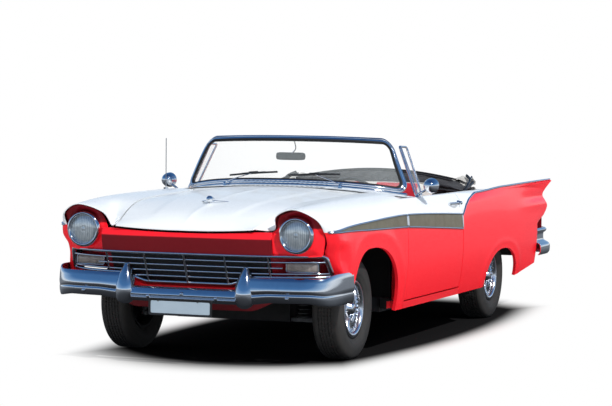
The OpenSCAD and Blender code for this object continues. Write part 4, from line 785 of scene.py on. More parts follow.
def quarterGrids(y, sideCount, topCount):
    row = rowAt(quarterTable, y)
    rise = np.clip((y - rearArch[0] - 200) * 0.11, 0, 110) * (y > rearArch[0] + 200)
    low = np.maximum(archHeight(rearArch, y), sill + rise)
    side, knee = sideGrid(row, low, sideCount, 7)
    first = np.stack([knee, row[:, 4:6], row[:, 6:8]], 1)
    second = row[:, 6:].reshape(len(y), -1, 2)
    section = np.concatenate([side, through(first, (1 + np.arange(1, 13) / 12) / 2),
                              through(second, np.arange(1, topCount + 1) / topCount)], 1)
    yGrid = y[:, None] + 0 * section[..., 0]
    n = section.shape[1] - 1
    w = np.interp(yGrid, [yRa - 590, yRa - 480], [1, 0])
    inner = inward(section, skin)
    x = w * doorIn + (1 - w) * inner[..., 0]
    z = w * (section[:, :1, 1] + (bz - 5 - section[:, :1,
                                                   1]) * np.arange(n + 1) / n) + (1 - w) * inner[..., 1]
    sideways = np.arange(n + 1) <= sideCount
    form = 3.5 * archRidge(rearArch, yGrid, section[..., 1]) + ease(1500, 2300, yGrid) * (
        9 * np.exp(-((section[..., 1] - 835) / 32) ** 2) - 12 * np.exp(-((section[...,
                1] - 905) / 30) ** 2))
    outer = np.stack([section[..., 0] + form * sideways, tailShift(yGrid, section[..., 1]),
                      section[..., 1]], 2)
    return outer, np.stack([x, tailShift(yGrid, np.where(w > 0, z, section[..., 1])), z],
                           2), sideCount + 12


def archColumns(arch, front, back, low):
    centre, before, after, height, power = arch
    reach = (1 - ((low - sill) / height) ** power) ** (1 / power)
    return np.concatenate([centre - before * reach * np.cos(np.linspace(0, np.pi / 2, front,
            endpoint=False)),
                           centre + after * np.sin(np.linspace(0, np.pi / 2, back))])


fenderY = np.concatenate([np.linspace(yFa - 832, yFa - 400, 34), archColumns(frontArch, 26, 34, valance),
                          np.linspace(yFa + 490, yDoor - gap, 12)])
doorY = np.linspace(yDoor, yDoorEnd, 40)
quarterY = np.concatenate([np.linspace(yDoorEnd + gap, yRa - 480, 24),
                           archColumns(rearArch, 26, 26, sill),
                           np.linspace(yRa + 400, yRa + 1345, 40)])
fenderY, quarterY = np.unique(fenderY), np.unique(quarterY)
for side, word in ((1, "left"), (-1, "right")):
    outer, inner = fenderGrids(fenderY, 34, 40)
    # the fender insides carry dark red painted shade under the headlamp brows
    piece = makeWall("fenderSkin" + word.title(), "body_shell", outer, inner, [twoTone, fenderInside],
                     side, bevel=1.0, slot="red_paint")
    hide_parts("front_fender_" + word)
    outer, inner = doorGrids(doorY, 30, 8)
    piece = makeWall("doorShell" + word.title(), "door_" + word, outer, inner, [twoTone, vinyl], side,
                     bevel=3.0, slot="red_paint")
    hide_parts("door_" + word)
    outer, inner, crest = quarterGrids(quarterY, 34, 22)
    points, faces, index = wallParts(outer, inner)
    cells = len(quarterY) - 1, outer.shape[1] - 1
    index[:cells[0] * cells[1]][(np.arange(cells[0] * cells[1]) % cells[1]) >= crest] = 2
    piece = makePiece("quarterSkin" + word.title(), "body_shell", points * [side, 1, 1], faces,
                      [twoTone, quarterInside, white],
                      index=index, bevel=2.0, slot="red_paint")
    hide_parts("quarter_" + word)
print("fenders, doors and quarters made")


# hood, cowl, deck, front panel and the rear panel's place

hoodCentre = [[yFa - 838, 852], [yFa - 800, 884], [yFa - 740, 918], [yFa - 650, 950], [yFa - 500, 982],
              [yFa - 300, 1012], [yFa, 1040], [yFa + 350, 1058], [yFa + 634, 1068]]
yHoodEnd = yDoor - gap
lipThick = 10.0


def hoodGrid(u, y, drop):
    row = rowAt(fenderTable, np.maximum(y, yFa - 832))
    edgeX, edgeZ, middle = row[:, -2] - gap, row[:, -1], rowAt(hoodCentre, y)[:, 1]
    across = np.abs(u)[:, None]
    peak = 5 * np.exp(-(across / 0.045) ** 1.3) * ease(yHoodEnd, yHoodEnd - 300, y) * ease(yFa - 835,
            yFa - 760, y)
    raised = 7 * (1 - ease(0.60, 0.72, across + 0.1 * ease(yFa + 300, yFa - 700, y))) * ease(yFa - 790,
            yFa - 600, y)
    x = u[:, None] * edgeX
    place = y + 12 * across**2 * ease(yFa - 660, yFa - 730, y)
    z = edgeZ + (middle - edgeZ) * (1 - across**2.4) - drop + peak + (raised - 7 * ease(yFa - 790,
            yFa - 600, y)) * 0.8
    return np.stack([x + 0 * z, place + 0 * z, z], 2)


hoodU = np.linspace(-1, 1, 97)
hoodY = np.concatenate([yFa - 838 + 100 * np.linspace(0, 1, 16) ** 1.5,
                        np.linspace(yFa - 730, yHoodEnd, 60)])
hoodDrop = np.where(hoodY < yFa - 800, lipThick, skin)
piece = makeWall("hoodSkin", "hood", hoodGrid(hoodU, hoodY, 0), hoodGrid(hoodU, hoodY, hoodDrop),
                 [white, darkRed],
                 bevel=2.0, slot="white_paint")
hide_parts("hood")

wsX, wsY, wsBow = 840.0, yFa + 1056, 300.0
wsTopX, wsTopY, wsTopBow, wsTopZ = 678.0, wsY + 39, 110.0, 1410.0
cowlX, cowlEdge, cowlMid = doorIn - 12, 1022.0, 1070.0


def baseY(x):
    return wsY - wsBow * (1 - np.minimum(1, np.abs(x) / wsX) ** 3)


def cowlZ(x, y):
    edge = cowlEdge - 20 * ease(yDoor, wsY, y)
    return edge + (cowlMid - edge) * (1 - np.minimum(1, np.abs(x) / cowlX) ** 2.4)


def cowlGrid(x, v, drop):
    far = baseY(x) + 45
    y = yDoor + v * (far[:, None] - yDoor)
    return np.stack([x[:, None] + 0 * y, y, cowlZ(x[:, None], y) - drop], 2)


cowlAcross = cowlX * np.sin(np.linspace(-1, 1, 81) * np.pi / 2)
cowlAlong = np.linspace(0, 1, 25)
makeWall("cowlSkin", "body_shell", cowlGrid(cowlAcross, cowlAlong, -1.5),
         cowlGrid(cowlAcross, cowlAlong, 8), [white, white],
         bevel=1.5, slot="white_paint")

# a louvred air inlet on the cowl, in front of the glass
slots = []
for k in range(-9, 10):
    middle = np.array([k * 36.0, yDoor + 55, cowlZ(k * 36.0, yDoor + 55) + 1.8])
    run = np.array([[0, -26, -1], [0, 0, 1.0], [0, 26, -0.5]])
    slots.append(sweep(middle + run, (1, 0, 0), (0, 0, 1), roundBox(16, 3, 12)))
addPart("cowlSlots", "body_shell", joined(*slots), darkTrim, slot="black_plastic")

lidFront, lidRear, stripLength = yRa - 1, yTail - 150, 108.0
deckCentre = [[lidFront - 150, 1000], [lidFront, 997], [lidFront + 500, 968], [lidFront + 950, 914],
              [lidFront + 1180, 878], [lidFront + 1240, 850], [lidRear, 800]]
quarterOuter = quarterGrids(quarterY, 34, 22)[0]
crestPath = quarterOuter[:, 34 + 12]
deckEdge = quarterOuter[:, -1]


def deckGrid(u, y, inset, drop):
    edgeX, edgeZ = (np.interp(y, deckEdge[:, 1], deckEdge[:, k]) for k in (0, 2))
    middle = np.maximum(rowAt(deckCentre, y)[:, 1], edgeZ + 12 - np.maximum(0, y - lidFront - 1150) * 2)
    edge = np.minimum(edgeZ, middle)
    x = u[:, None] * (edgeX - inset)
    z = edge + (middle - edge) * (1 - np.abs(u)[:, None] ** 2.4) - drop
    return np.stack([x + 0 * z, y + 0 * z, z], 2)


lidU = np.linspace(-1, 1, 73)
lidY = np.unique(np.concatenate([np.linspace(lidFront, lidFront + 1060, 50),
                                 np.linspace(lidFront + 1060, lidFront + 1245, 14)]))
piece = makeWall("trunkSkin", "trunk_lid", deckGrid(lidU, lidY, gap, 0), deckGrid(lidU, lidY, gap, skin),
                 [white, darkRed],
                 bevel=3.0, slot="white_paint")
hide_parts("trunk_lid")
lipEdge = deckGrid(lidU * 0.98, lidY[-1:], gap, 4)[:, 0]
lipShare = np.linspace(0, 1, 6)
lipZ = lipEdge[:, 2:] + (np.minimum(lipEdge[:, 2:] - 4, 774) - lipEdge[:, 2:]) * lipShare
trunkLip = np.stack([lipEdge[:, :1] + 0 * lipShare, lipEdge[:, 1:2] - 2 - 3 * lipShare, lipZ], 2)
makeWall("trunkLip", "trunk_lid", trunkLip, trunkLip - [0, 3, 0], [white, darkRed], slot="white_paint")
stripY = np.linspace(lidFront - stripLength, lidFront - gap, 8)
makeWall("deckStrip", "body_shell", deckGrid(lidU, stripY, seatGap, -1),
         deckGrid(lidU, stripY, seatGap, 12), [white, white],
         bevel=1.5, slot="white_paint")
handle = smoothLine([(-70, lidRear - 6, 792), (-66, lidRear + 4, 800), (0, lidRear + 8, 803),
                     (66, lidRear + 4, 800), (70, lidRear - 6, 792)], 24)
addPart("trunkHandle", "trunk_lid", tubePath(handle, 7, 12), chrome)

# the front panel over the grille, with a bucket round each headlamp
noseFace, noseHalf, noseLow = yNose + 38, 575.0, 706.0


def noseY(x):
    return noseFace + 189 * (np.abs(x) / 861) ** 4


def noseOff(z):
    lower = 6 - 18 * np.clip((z - noseLow) / (804 - noseLow), 0, 1) ** 0.8
    return np.where(z < 804, lower, -12 + 22 * np.clip((z - 804) / 40, 0, 2) ** 1.3)


lipSwing = 13.5  # the lip dips 11.4 below its place as the hood opens on its front hinge


def noseRim(x):  # under the hood's lip, clear of its swing
    lip = hoodGrid(hoodU, hoodY[:1], lipThick)[:, 0]
    return np.interp(x, lip[:, 0], lip[:, 2]) - lipSwing


def noseGrid(x, share, back):
    top = noseRim(x)
    z = noseLow + (top[:, None] - noseLow) * share
    y = noseY(x)[:, None] + noseOff(z) + back
    return np.stack([x[:, None] + 0 * z, y, z], 2)


bandX, bandShare = np.linspace(-noseHalf, noseHalf, 91), np.linspace(0, 1, 33)
# the nose band's lower part is dark red painted shade
noseBand = makeWall("noseBand", "body_shell", noseGrid(bandX, bandShare, 0),
                    noseGrid(bandX, bandShare, skin), [bandWithPaintedShade, red],
                    bevel=1.5, slot="red_paint")
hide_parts("front_panel")
shelfShare = np.linspace(0, 1, 7)
shelfTop = noseRim(bandX) - 1.5
shelf = np.stack([bandX[:, None] + 0 * shelfShare, noseY(bandX)[:, None] + 8 + 85 * shelfShare,
                  shelfTop[:, None] - 8 * shelfShare], 2)
makeWall("noseShelf", "body_shell", shelf, shelf - [0, 0, 4], [red, red], slot="red_paint")
lampX, lampZ, lampY, ringR = 723.0, 830.0, yNose + 158, 106.0
lampRim = np.array([[0, 133, 197], [6, 131, 198], [36, 137, 122], [60, 133, 100], [83, 131, 84],
                    [117, 134, 98],
                    [136, 148, 118], [166, 138, 150], [180, 158, 110], [216, 196, 110], [235, 146, 122],
                    [270, 120, 138], [299, 137, 172], [316, 170, 212], [332, 148, 204], [360, 133, 197]],
                    float)


def bucketGrid(angle, share, back):
    turn = np.radians(angle)[:, None]
    inner = ringR - 7 + seatGap
    rim, deep = (np.interp(angle, lampRim[:, 0], lampRim[:, k])[:, None] for k in (1, 2))
    low = np.where(np.sin(turn) < -0.4, 120 / np.maximum(-np.sin(turn), 0.4), 999)
    rim = np.maximum(np.minimum(rim, low), ringR + 8)
    rim = rim + 17 * (1 - ease(70, 190, deep)) * (np.sin(turn) > -0.3)
    rim = rim + 15 * ease(-0.2, 0.3, np.cos(turn))
    near, far = lampY - 28 + seatGap, yNose + deep
    radius = inner + (rim - inner) * share
    flare = 3 * np.sin(np.pi * np.clip((radius - ringR) / 30, 0, 1)) ** 1.2 * ease(80, -30,
            60 * np.sin(turn))
    y = near + (far - near) * ease(ringR + 2, rim, radius) - flare + back
    return np.stack([lampX + radius * np.cos(turn), y, lampZ + radius * np.sin(turn)], 2)


bucketAngle = np.linspace(0, 360, 97)[:-1]
bucketShare = np.linspace(0, 1, 21)
for side, word in ((1, "Left"), (-1, "Right")):
    outer, inner = bucketGrid(bucketAngle, bucketShare, 0), bucketGrid(bucketAngle, bucketShare, 9)
    ring = np.concatenate([outer, inner[:, ::-1]], 1)
    faces, uv = gridFaces(ring.shape[0], ring.shape[1], True, True)
    # each bucket's upper part is dark red painted shade
    piece = makePiece("lampBucket" + word, "body_shell", ring.reshape(-1, 3) * [side, 1, 1], faces,
                      bucketWithPaintedShade, uv=uv, slot="red_paint")
    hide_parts("front_panel")

rearPanelY = yTail - 187
print("hood, cowl, deck and front panel made")


# grille, lamps, bumpers and plate

grilleTop, grilleLow, grilleStep, stepX0, stepX1 = 698.7, 517.0, 568.0, 290.0, 445.0
parkX0, parkX1, parkZ, parkH = 628.0, 820.0, 628.0, 48.0
parkY0, parkY1 = yNose + 205, yNose + 226
guardX = 405.0


def grilleY(x, z):
    return noseY(x) + 0.41 * (grilleTop - z)


def grilleEnd(z):
    return 866 + (grilleTop - z) * 0.19


def onGrille(x, z, off):
    x, z = np.asarray(x, float), np.asarray(z, float) + 0 * np.asarray(x, float)
    return np.stack([x, grilleY(x, z) + off, z], 1)


def grilleBar(x0, x1, z0, z1, height, depth, off, count=60):
    x = np.linspace(x0, x1, count)
    return sweep(onGrille(x, np.linspace(z0, z1, count), off + depth / 2), (0, 1, 0), (0, 0, 1),
                 roundBox(depth, height, 16, 3))


def filleted(points, radius, count=8):  # a closed outline with its corners rounded
    points = np.asarray(points, float)
    made = []
    for k in range(len(points)):
        a, b, c = points[k - 1], points[k], points[(k + 1) % len(points)]
        r = min(radius, np.linalg.norm(a - b) * 0.45, np.linalg.norm(c - b) * 0.45)
        p, q = b + (a - b) / np.linalg.norm(a - b) * r, b + (c - b) / np.linalg.norm(c - b) * r
        t = np.linspace(0, 1, count)[:, None]
        made.append((1 - t) ** 2 * p + 2 * t * (1 - t) * b + t**2 * q)
    return np.concatenate(made)


def evenly(path, step, closed=True):  # points at even distances along a path
    if closed:
        path = np.concatenate([path, path[:1]])
    length = np.concatenate([[0], np.cumsum(np.linalg.norm(np.diff(path, axis=0), axis=1))])
    count = int(length[-1] / step)
    place = np.linspace(0, length[-1], count, endpoint=not closed)
    return np.stack([np.interp(place, length, path[:, k]) for k in range(path.shape[1])], 1)


lowRight = grilleEnd(grilleStep)
outline = [(-862, grilleTop), (862, grilleTop), (lowRight - 6, grilleStep), (stepX1, grilleStep),
           (stepX0, grilleLow),
           (-stepX0, grilleLow), (-stepX1, grilleStep), (-lowRight + 6, grilleStep)]
outline = evenly(filleted(outline, 22), 12)
edge = onGrille(outline[:, 0], outline[:, 1], 6)
along = np.roll(outline, -1, 0) - np.roll(outline, 1, 0)
along /= np.linalg.norm(along, axis=1, keepdims=True)
normal = np.stack([-along[:, 1], 0 * along[:, 0], along[:, 0]], 1)
ends = ease(840, 866, np.abs(outline[:, 0]))[:, None]
shape = np.array([(-11, 10), (-8, -2), (-2, -7), (5, -5), (8, 0), (9, 10), (4, 12), (-6, 12)], float)
shape = smoothLine(np.concatenate([shape, shape[:1]]), 25)[:-1]
ring = edge[:, None] - shape[None, :, :1] * normal[:, None] * (1 + 0.6 * ends[:, None]) + shape[None, :,
        1:] * np.array([0, 1.0, 0])
faces, uv = gridFaces(len(ring), ring.shape[1], True, True)
surround = makePiece("grilleSurround", "body_shell", ring, faces, chrome, uv=uv)
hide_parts("grille")
barHeights = grilleLow + (grilleTop - grilleLow) * np.arange(1, 5) / 5
bars = []
for z in barHeights:
    end = stepX1 if z < grilleStep else parkX0 - 4 if abs(z
                                                          - parkZ) < parkH / 2 + 2 else grilleEnd(z) - 7
    bars.append(grilleBar(-end, end, z, z, 11, 15, 5))
addPart("grilleBars", "body_shell", joined(*bars), chrome)
posts = []
for x, low, off in ((0, grilleLow, -4), (272, grilleLow, -1), (-272, grilleLow, -1),
                    (548, grilleStep, 1), (-548, grilleStep, 1)):
    z = np.linspace(low, grilleTop, 14)
    path = onGrille(x + 0 * z, z, off + 6)
    posts.append(sweep(path, (1, 0, 0), (0, 1, 0), roundBox(13 if x == 0 else 10, 12, 14, 3)))
addPart("grillePosts", "body_shell", joined(*posts), wornChrome)

# the dark opening behind the bars, red where the sheet metal shows
shroudX, shroudShare = np.linspace(-858, 858, 121), np.linspace(0, 1, 14)


def shroudGrid(back):
    low = grilleLow + 4 + (grilleStep - grilleLow) * ease(stepX0 - 10, stepX1 + 10, np.abs(shroudX))
    z = low[:, None] + (grilleTop + 4 - low[:, None]) * shroudShare
    wave = 5 * np.abs(np.sin(shroudX / 7.0))[:, None] * (np.abs(shroudX) < 540)[:, None]
    return np.stack([shroudX[:, None] + 0 * z,
                     grilleY(shroudX[:, None], z) + 62 + 48 * ease(560, 620, np.abs(shroudX))[:,
                             None] + wave + back, z], 2)


points, faces, index = wallParts(shroudGrid(0), shroudGrid(3))
index = (np.abs(points[faces].mean(1)[:, 0]) > 548).astype(int)
makePiece("grilleShroud", "body_shell", points, faces, [darkTrim, darkRed], index=index,
          slot="black_plastic")

# the red valance under the grille, with its lower lip rolled back
valanceX, valanceShare = np.linspace(-872, 872, 141), np.linspace(0, 1, 30)


def valanceGrid(back):
    x = np.abs(valanceX)
    top = grilleLow - 16 + (grilleStep - grilleLow) * ease(stepX0 - 8, stepX1 + 4, x)
    low = 348 + 72 * ease(380, 600, x)
    z = low[:, None] + (top - low)[:, None] * valanceShare
    tuck = 34 * (1 - valanceShare) ** 2
    y = grilleY(valanceX[:, None], np.maximum(z, 470)) + 12 + tuck + 26 * ease(0.93, 1.0,
            valanceShare) + back
    return np.stack([valanceX[:, None] + 0 * z, y, z], 2)


# the valance's lower part is very dark red painted shade
makeWall("valance", "body_shell", valanceGrid(0), valanceGrid(3), [valanceWithPaintedShade, black], bevel=1.0,
         slot="red_paint")

# headlamps: chrome ring and a domed lens with flutes
ringShape = smoothLine([(86, 38), (89, 54), (94, 64), (102, 66), (110, 60), (114, 50), (113, 40),
                        (104, 32)], 40)
lensR = np.linspace(0, 90, 40)
for side, word in ((1, "Left"), (-1, "Right")):
    centre = (side * lampX, lampY - seatGap, lampZ)
    profile = np.concatenate([[(84, 20)], ringShape, [(99, 2), (84, 2), (84, 20)]])
    ring = lathe(profile * [1, -1], 96, centre, "y")
    piece = addPart("lampRing" + word, "body_shell", oriented(ring), chrome)
    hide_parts("headlamps")
    turn = np.linspace(0, 2 * np.pi, 144, endpoint=False)[:, None]
    dome = 30 + 26 * np.sqrt(np.maximum(0, 1 - (lensR / 104) ** 2))
    flute = 1.1 * np.abs(np.sin(lensR * np.cos(turn) / 4.2)) * ease(14, 24, lensR) * ease(90, 82, lensR)
    boss = 2.5 * np.exp(-(lensR / 9) ** 2)
    front = np.stack([centre[0] + lensR * np.cos(turn), centre[1] - (dome + flute + boss),
                      centre[2] + lensR * np.sin(turn)], 2)
    back = front[:, ::-1] * [1, 0, 1] + [0, centre[1] - 20, 0]
    grid = np.concatenate([front, back], 1)
    faces, uv = gridFaces(grid.shape[0], grid.shape[1], True)
    piece = addPart("lampLens" + word, "body_shell", oriented((grid.reshape(-1, 3), faces, uv)),
                    headlampLens, slot="lamp_glass", angle=80)
    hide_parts("headlamps")

# parking lamps: fluted lens in a chrome housing
lampShare = np.linspace(0, 1, 97)
upShare = np.linspace(0, 1, 9)
lensX = parkX0 + (parkX1 - parkX0) * lampShare
lensY = parkY0 + (parkY1 - parkY0) * lampShare - 3.0 * np.abs(np.sin(lampShare * np.pi * 24)) ** 0.7
rise = parkZ + (upShare - 0.5) * (parkH - 1)
bow = 4 * (1 - (2 * upShare - 1) ** 4)
front = np.stack([lensX[:, None] + 0 * rise, lensY[:, None] - bow, rise + 0 * lensX[:, None]], 2)
back = front * [1, 0, 1] + np.stack([0 * lensX, parkY0 + (parkY1 - parkY0) * lampShare + 20, 0 * lensX],
                                    1)[:, None]
points, faces, index = wallParts(front, back)
lensPart = (points, faces, np.zeros((len(faces), 4, 2)))
piece = addPart("parkingLenses", "body_shell", joined(oriented(lensPart), mirrored(oriented(lensPart))),
                parkingLens, slot="lamp_glass")
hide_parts("parking_lamps")
frameLine = filleted([(parkX0 - 5, parkZ - parkH / 2 - 4), (parkX1 + 5, parkZ - parkH / 2 - 4),
                      (parkX1 + 5, parkZ + parkH / 2 + 4),
                      (parkX0 - 5, parkZ + parkH / 2 + 4)], 8)
frameLine = evenly(frameLine, 8)
frameY = parkY0 + (parkY1 - parkY0) * (frameLine[:, 0] - parkX0) / (parkX1 - parkX0)
framePath = np.stack([frameLine[:, 0], frameY - 5, frameLine[:, 1]], 1)
addPart("parkingFrames", "body_shell", bothSides(tubePath(framePath, 4.5, 10, True)), chrome)
sleeve = np.stack([framePath, framePath + [0, 32, 0]], 1)
inset = (framePath - [0, 0, parkZ]) * [1, 1, 0.9] + [0, 0, parkZ]
inset[:, 0] = parkX0 + 96 + (inset[:, 0] - parkX0 - 96) * 0.98
sleeve = np.concatenate([sleeve, np.stack([inset + [0, 32, 0], inset], 1)], 1)
faces, uv = gridFaces(sleeve.shape[0], 4, True, True)
addPart("parkingSleeves", "body_shell", bothSides(oriented((sleeve.reshape(-1, 3), faces, uv))),
        darkTrim, slot="black_plastic")

# bumpers: a blade along a rounded plan, its section drawn through the source's points
frontShape = np.array([[0, -30], [0.07, -12], [0.2, 1], [0.3, 3], [0.37, -2], [0.43, 4], [0.5, 7],
                       [0.62, 4], [0.78, -4], [0.9, -12], [1, -27]], float)
rearShape = np.array([[0, -14], [0.12, 2], [0.38, 0], [0.5, -38], [0.56, -50], [0.78, -50], [0.84, -34],
                      [0.93, -26], [1, -40]], float)


def planLine(a, half, depth, power):
    x = half * np.sign(np.sin(a)) * np.abs(np.sin(a)) ** (2 / power)
    return np.stack([x, -depth * np.abs(np.cos(a)) ** (2 / power)], 1)


def planNormal(a, half, depth, power):
    step = math.radians(1)
    d = planLine(np.minimum(a + step, np.pi / 2), half, depth,
                 power) - planLine(np.maximum(a - step, -np.pi / 2), half, depth, power)
    return np.stack([d[:, 1], -d[:, 0]], 1) / np.linalg.norm(d, axis=1, keepdims=True)


bladeTurn = np.linspace(-1, 1, 161)
bladeTurn = np.pi / 2 * (0.55 * bladeTurn + 0.45 * bladeTurn**3)
bladeShape = smoothLine(frontShape, 43)


def frontBlade(thick):
    P, N = planLine(bladeTurn, 976, 485 - 12.3, 4.5), planNormal(bladeTurn, 976, 485 - 12.3, 4.5)
    x = np.abs(P[:, 0])
    high = 490 + 80 * ease(guardX - 45, guardX + 30, x) + 25 * ease(900, 976, x)
    low = 397 + 20 * ease(guardX, 600, x) - 17 * ease(800, 960, x)
    e = ease(760, 950, x)[:, None]
    off = bladeShape[:, 1] * (1 - 0.7 * e) - thick * (1 - 0.4 * e)
    off = off - 12 - 14 * np.exp(-((x[:, None] - guardX) / 95) ** 2)
    z = low[:, None] + (high - low)[:, None] * bladeShape[:, 0]
    return np.stack([P[:, :1] + N[:, :1] * off, yNose + 485 + P[:, 1:] + N[:, 1:] * off, z], 2)


piece = makeWall("frontBlade", "body_shell", frontBlade(0), frontBlade(10), [chrome, wornChrome],
                 bevel=3.0)
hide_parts("front_bumper")
guardShape = smoothLine([(0, 374), (20, 376), (40, 386), (54, 402), (63, 436), (64, 474), (58, 520),
                         (45, 565), (28, 602), (12, 628), (0, 634)], 70)
guard, faces, uv = lathe(guardShape, 64, (guardX, yNose + 64, 0), "z")
lift = np.maximum(guard[:, 2] - 470, 0)
narrow = 1 - 0.10 * ease(480, 620, guard[:, 2])
guard[:, 0] = guardX + (guard[:, 0] - guardX) * narrow
guard[:, 1] += 0.13 * lift
guard[:, 1] = np.where(guard[:, 2] > 488, np.minimum(guard[:, 1], grilleY(guardX, guard[:, 2]) - 6),
                       guard[:, 1])
piece = addPart("bumperGuards", "body_shell", bothSides(oriented((guard, faces, uv))), chrome, angle=60)
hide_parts("front_bumper")
arms = []
for z in (418, 446):
    arms.append(sweep([(400, yNose + 100, z), (400, yNose + 180, z), (400, yFa - 566, z)], (1, 0, 0),
                      (0, 0, 1), roundBox(44, 22, 16)))
bolts = []
for x, z in ((-690, 448), (-230, 432), (230, 432), (690, 448), (0, 452)):
    place = np.interp(x, frontBlade(0)[:, 20, 0], frontBlade(0)[:, 20, 1])
    bolts.append(lathe(smoothLine([(0, 14), (8, 12), (12, 6), (13, -4)], 12) * [1, -1], 24,
                       (x, place + 2, z), "y"))
addPart("bumperArms", "body_shell", joined(bothSides(joined(*arms))), black, slot="chassis_black")
addPart("bumperBolts", "body_shell", joined(*[oriented(b) for b in bolts]), chrome)

rearLine = smoothLine(rearShape, 57)


def rearBlade(thick):
    P, N = planLine(bladeTurn, 966, 432, 8), planNormal(bladeTurn, 966, 432, 8)
    off = rearLine[:, 1] - thick
    z = 424 + 216 * rearLine[:, 0]
    return np.stack([-(P[:, :1] + N[:, :1] * off), yTail - 434 - P[:, 1:] - N[:, 1:] * off,
                     z + 0 * off - 0 * P[:, :1]], 2)


piece = makeWall("rearBlade", "body_shell", rearBlade(0), rearBlade(10), [chrome, wornChrome], bevel=3.0)
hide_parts("rear_bumper")
rearArms = sweep([(530, yTail - 88, 458), (530, yTail - 60, 458), (530, yTail - 22, 458)], (1, 0, 0),
                 (0, 0, 1), roundBox(48, 40, 16))
addPart("rearArms", "body_shell", bothSides(rearArms), black, slot="chassis_black")

# the blank plate in a dark frame, with two bolts
plateW, plateH, plateZ = 442.0, 115.0, 312.0
plateLine = evenly(filleted([(-plateW / 2 + 6, plateZ + 6), (plateW / 2 - 6, plateZ + 6),
                             (plateW / 2 - 6, plateZ + plateH - 6),
                             (-plateW / 2 + 6, plateZ + plateH - 6)], 12), 7)
frameRing = np.stack([plateLine[:, 0], 0 * plateLine[:, 0] + yNose + 2.6, plateLine[:, 1]], 1)
outwardStep = (frameRing - [0, yNose + 2.6, plateZ + plateH / 2])
shapes = []
for grow, y in ((1.0, 0.2), (1.0, 4.6), (0.74, 4.6), (0.74, 1.6), (0.78, 0.2)):
    scale = np.array([1 - (1 - grow) * plateH / plateW, 0, grow])
    shapes.append(outwardStep * scale * [1.0, 0, 1] + [0, yNose + y, plateZ + plateH / 2])
ring = np.stack(shapes, 1)
faces, uv = gridFaces(len(ring), ring.shape[1], True, True)
piece = addPart("plateFrame", "body_shell", oriented((ring.reshape(-1, 3), faces, uv)), darkTrim,
                slot="black_plastic", bevel=0.5)
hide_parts("number_plate")
u, v = np.linspace(-1, 1, 41), np.linspace(-1, 1, 15)
press = 0.8 * (ease(0.99, 0.965, np.abs(u))[:, None] * ease(0.96, 0.86, np.abs(v)))
grid = np.stack([(u * (plateW / 2 - 14))[:, None] + 0 * v, yNose + 2.6 - press,
                 plateZ + plateH / 2 + (v * (plateH / 2 - 13)) + 0 * press], 2)
piece = makeWall("plateSheet", "body_shell", grid, grid * [1, 0, 1] + [0, yNose + 4.2, 0],
                 [plate, plate], slot="plate_paint")
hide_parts("number_plate")
screws = [lathe(smoothLine([(0, 1.9), (4, 1.6), (7, 0.6), (7.5, -1)], 10) * [1, -1], 20,
                (x, yNose + 2.2, plateZ + plateH - 18), "y")
          for x in (-150, 118)]
addPart("plateScrews", "body_shell", joined(*[oriented(s) for s in screws]), steel, slot="steel")
print("grille, lamps and bumpers made")


# windshield, mirrors, wipers and vent windows

cornerU, cornerV = 0.1, 0.24
frameU, frameV = 34 / 860, 34 / 360


def wsPoint(u, v):
    u, v = np.broadcast_arrays(np.asarray(u, float), np.asarray(v, float))
    x = wsX * u
    y = baseY(x)
    base = np.stack([x, y, cowlZ(x, y) + 14], -1)
    top = np.stack([wsTopX * u, wsTopY - wsTopBow * (1 - np.abs(u) ** 2.4), wsTopZ - 12 * u * u], -1)
    v = v[..., None]
    return base * (1 - v) + top * v - np.array([0, 18.0, 0]) * np.sin(np.pi * v)


def wsNormal(u, v):
    u = np.asarray(u, float)
    a = wsPoint(np.minimum(u + 0.01, 1), v) - wsPoint(np.maximum(u - 0.01, -1), v)
    n = np.cross(a, wsPoint(u, 1.0 + 0 * u) - wsPoint(u, 0 * u))
    return n / np.linalg.norm(n, axis=-1, keepdims=True)


corners = np.array([[1, 1], [-1, 1], [-1, -1], [1, -1]]) * [1 - cornerU, 0.5 - cornerV]


def outlineUv(order, counts, du, dv):  # corner arcs and the edges between them, drawn in by du and dv
    centres, angles = [], []
    for q, count in zip(order, counts):
        arc = np.radians(90 * q + np.linspace(0, 90, 15))
        centres.append(np.repeat(corners[q % 4][None], 15, 0))
        angles.append(arc)
        t = np.linspace(0, 1, count + 1)[1:-1, None]
        centres.append(corners[q % 4] * (1 - t) + corners[(q + 1) % 4] * t)
        angles.append(np.full(len(t), np.radians(90 * (q + 1))))
    centre, angle = np.concatenate(centres), np.concatenate(angles)
    return centre[:, 0] + np.cos(angle) * (cornerU - du), 0.5 + centre[:,
            1] + np.sin(angle) * (cornerV - dv)


def wsSweep(shape):  # a closed section, columns share of the frame's width and height off the glass
    ring = []
    for share, off in shape:
        u, v = outlineUv((0, 1, 2, 3), (50, 16, 50, 16), frameU * share, frameV * share)
        ring.append(wsPoint(u, v) + off * wsNormal(u, v))
    ring = np.stack(ring, 1)
    faces, uv = gridFaces(ring.shape[0], ring.shape[1], True, True)
    return oriented((ring.reshape(-1, 3), faces, uv))


frameShape = np.array([(0, 0), (0.05, 9), (0.3, 13), (0.42, 10), (0.55, 13), (0.85, 10), (1, 4), (1, -4),
                       (0.85, -10), (0.4, -13), (0.05, -9), (0, 0)])
piece = addPart("windshieldFrame", "body_shell", wsSweep(smoothLine(frameShape, 33)[:-1]), chrome)
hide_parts("windshield_frame")
sealShape = np.array([(0.6, 11), (0.85, 12), (1.05, 8), (1.16, 4), (1.16, -4), (1.05, -8), (0.85, -12),
                      (0.6, -11)])
addPart("windshieldSeal", "body_shell", wsSweep(sealShape), rubberSeal, slot="black_plastic")
across = np.linspace(-0.97, 0.97, 90)
foot = wsPoint(across, 0 * across) + [0, 2, -6]
addPart("windshieldBase", "body_shell", sweep(foot, (0, 1, 0), (0, 0, 1), roundBox(34, 26, 20, 2.6)),
        chrome)
u, v = outlineUv((3, 0), (12, 1), frameU, frameV)
across = np.linspace(-1, 1, 81)[:, None] * u
normal = wsNormal(across, v)
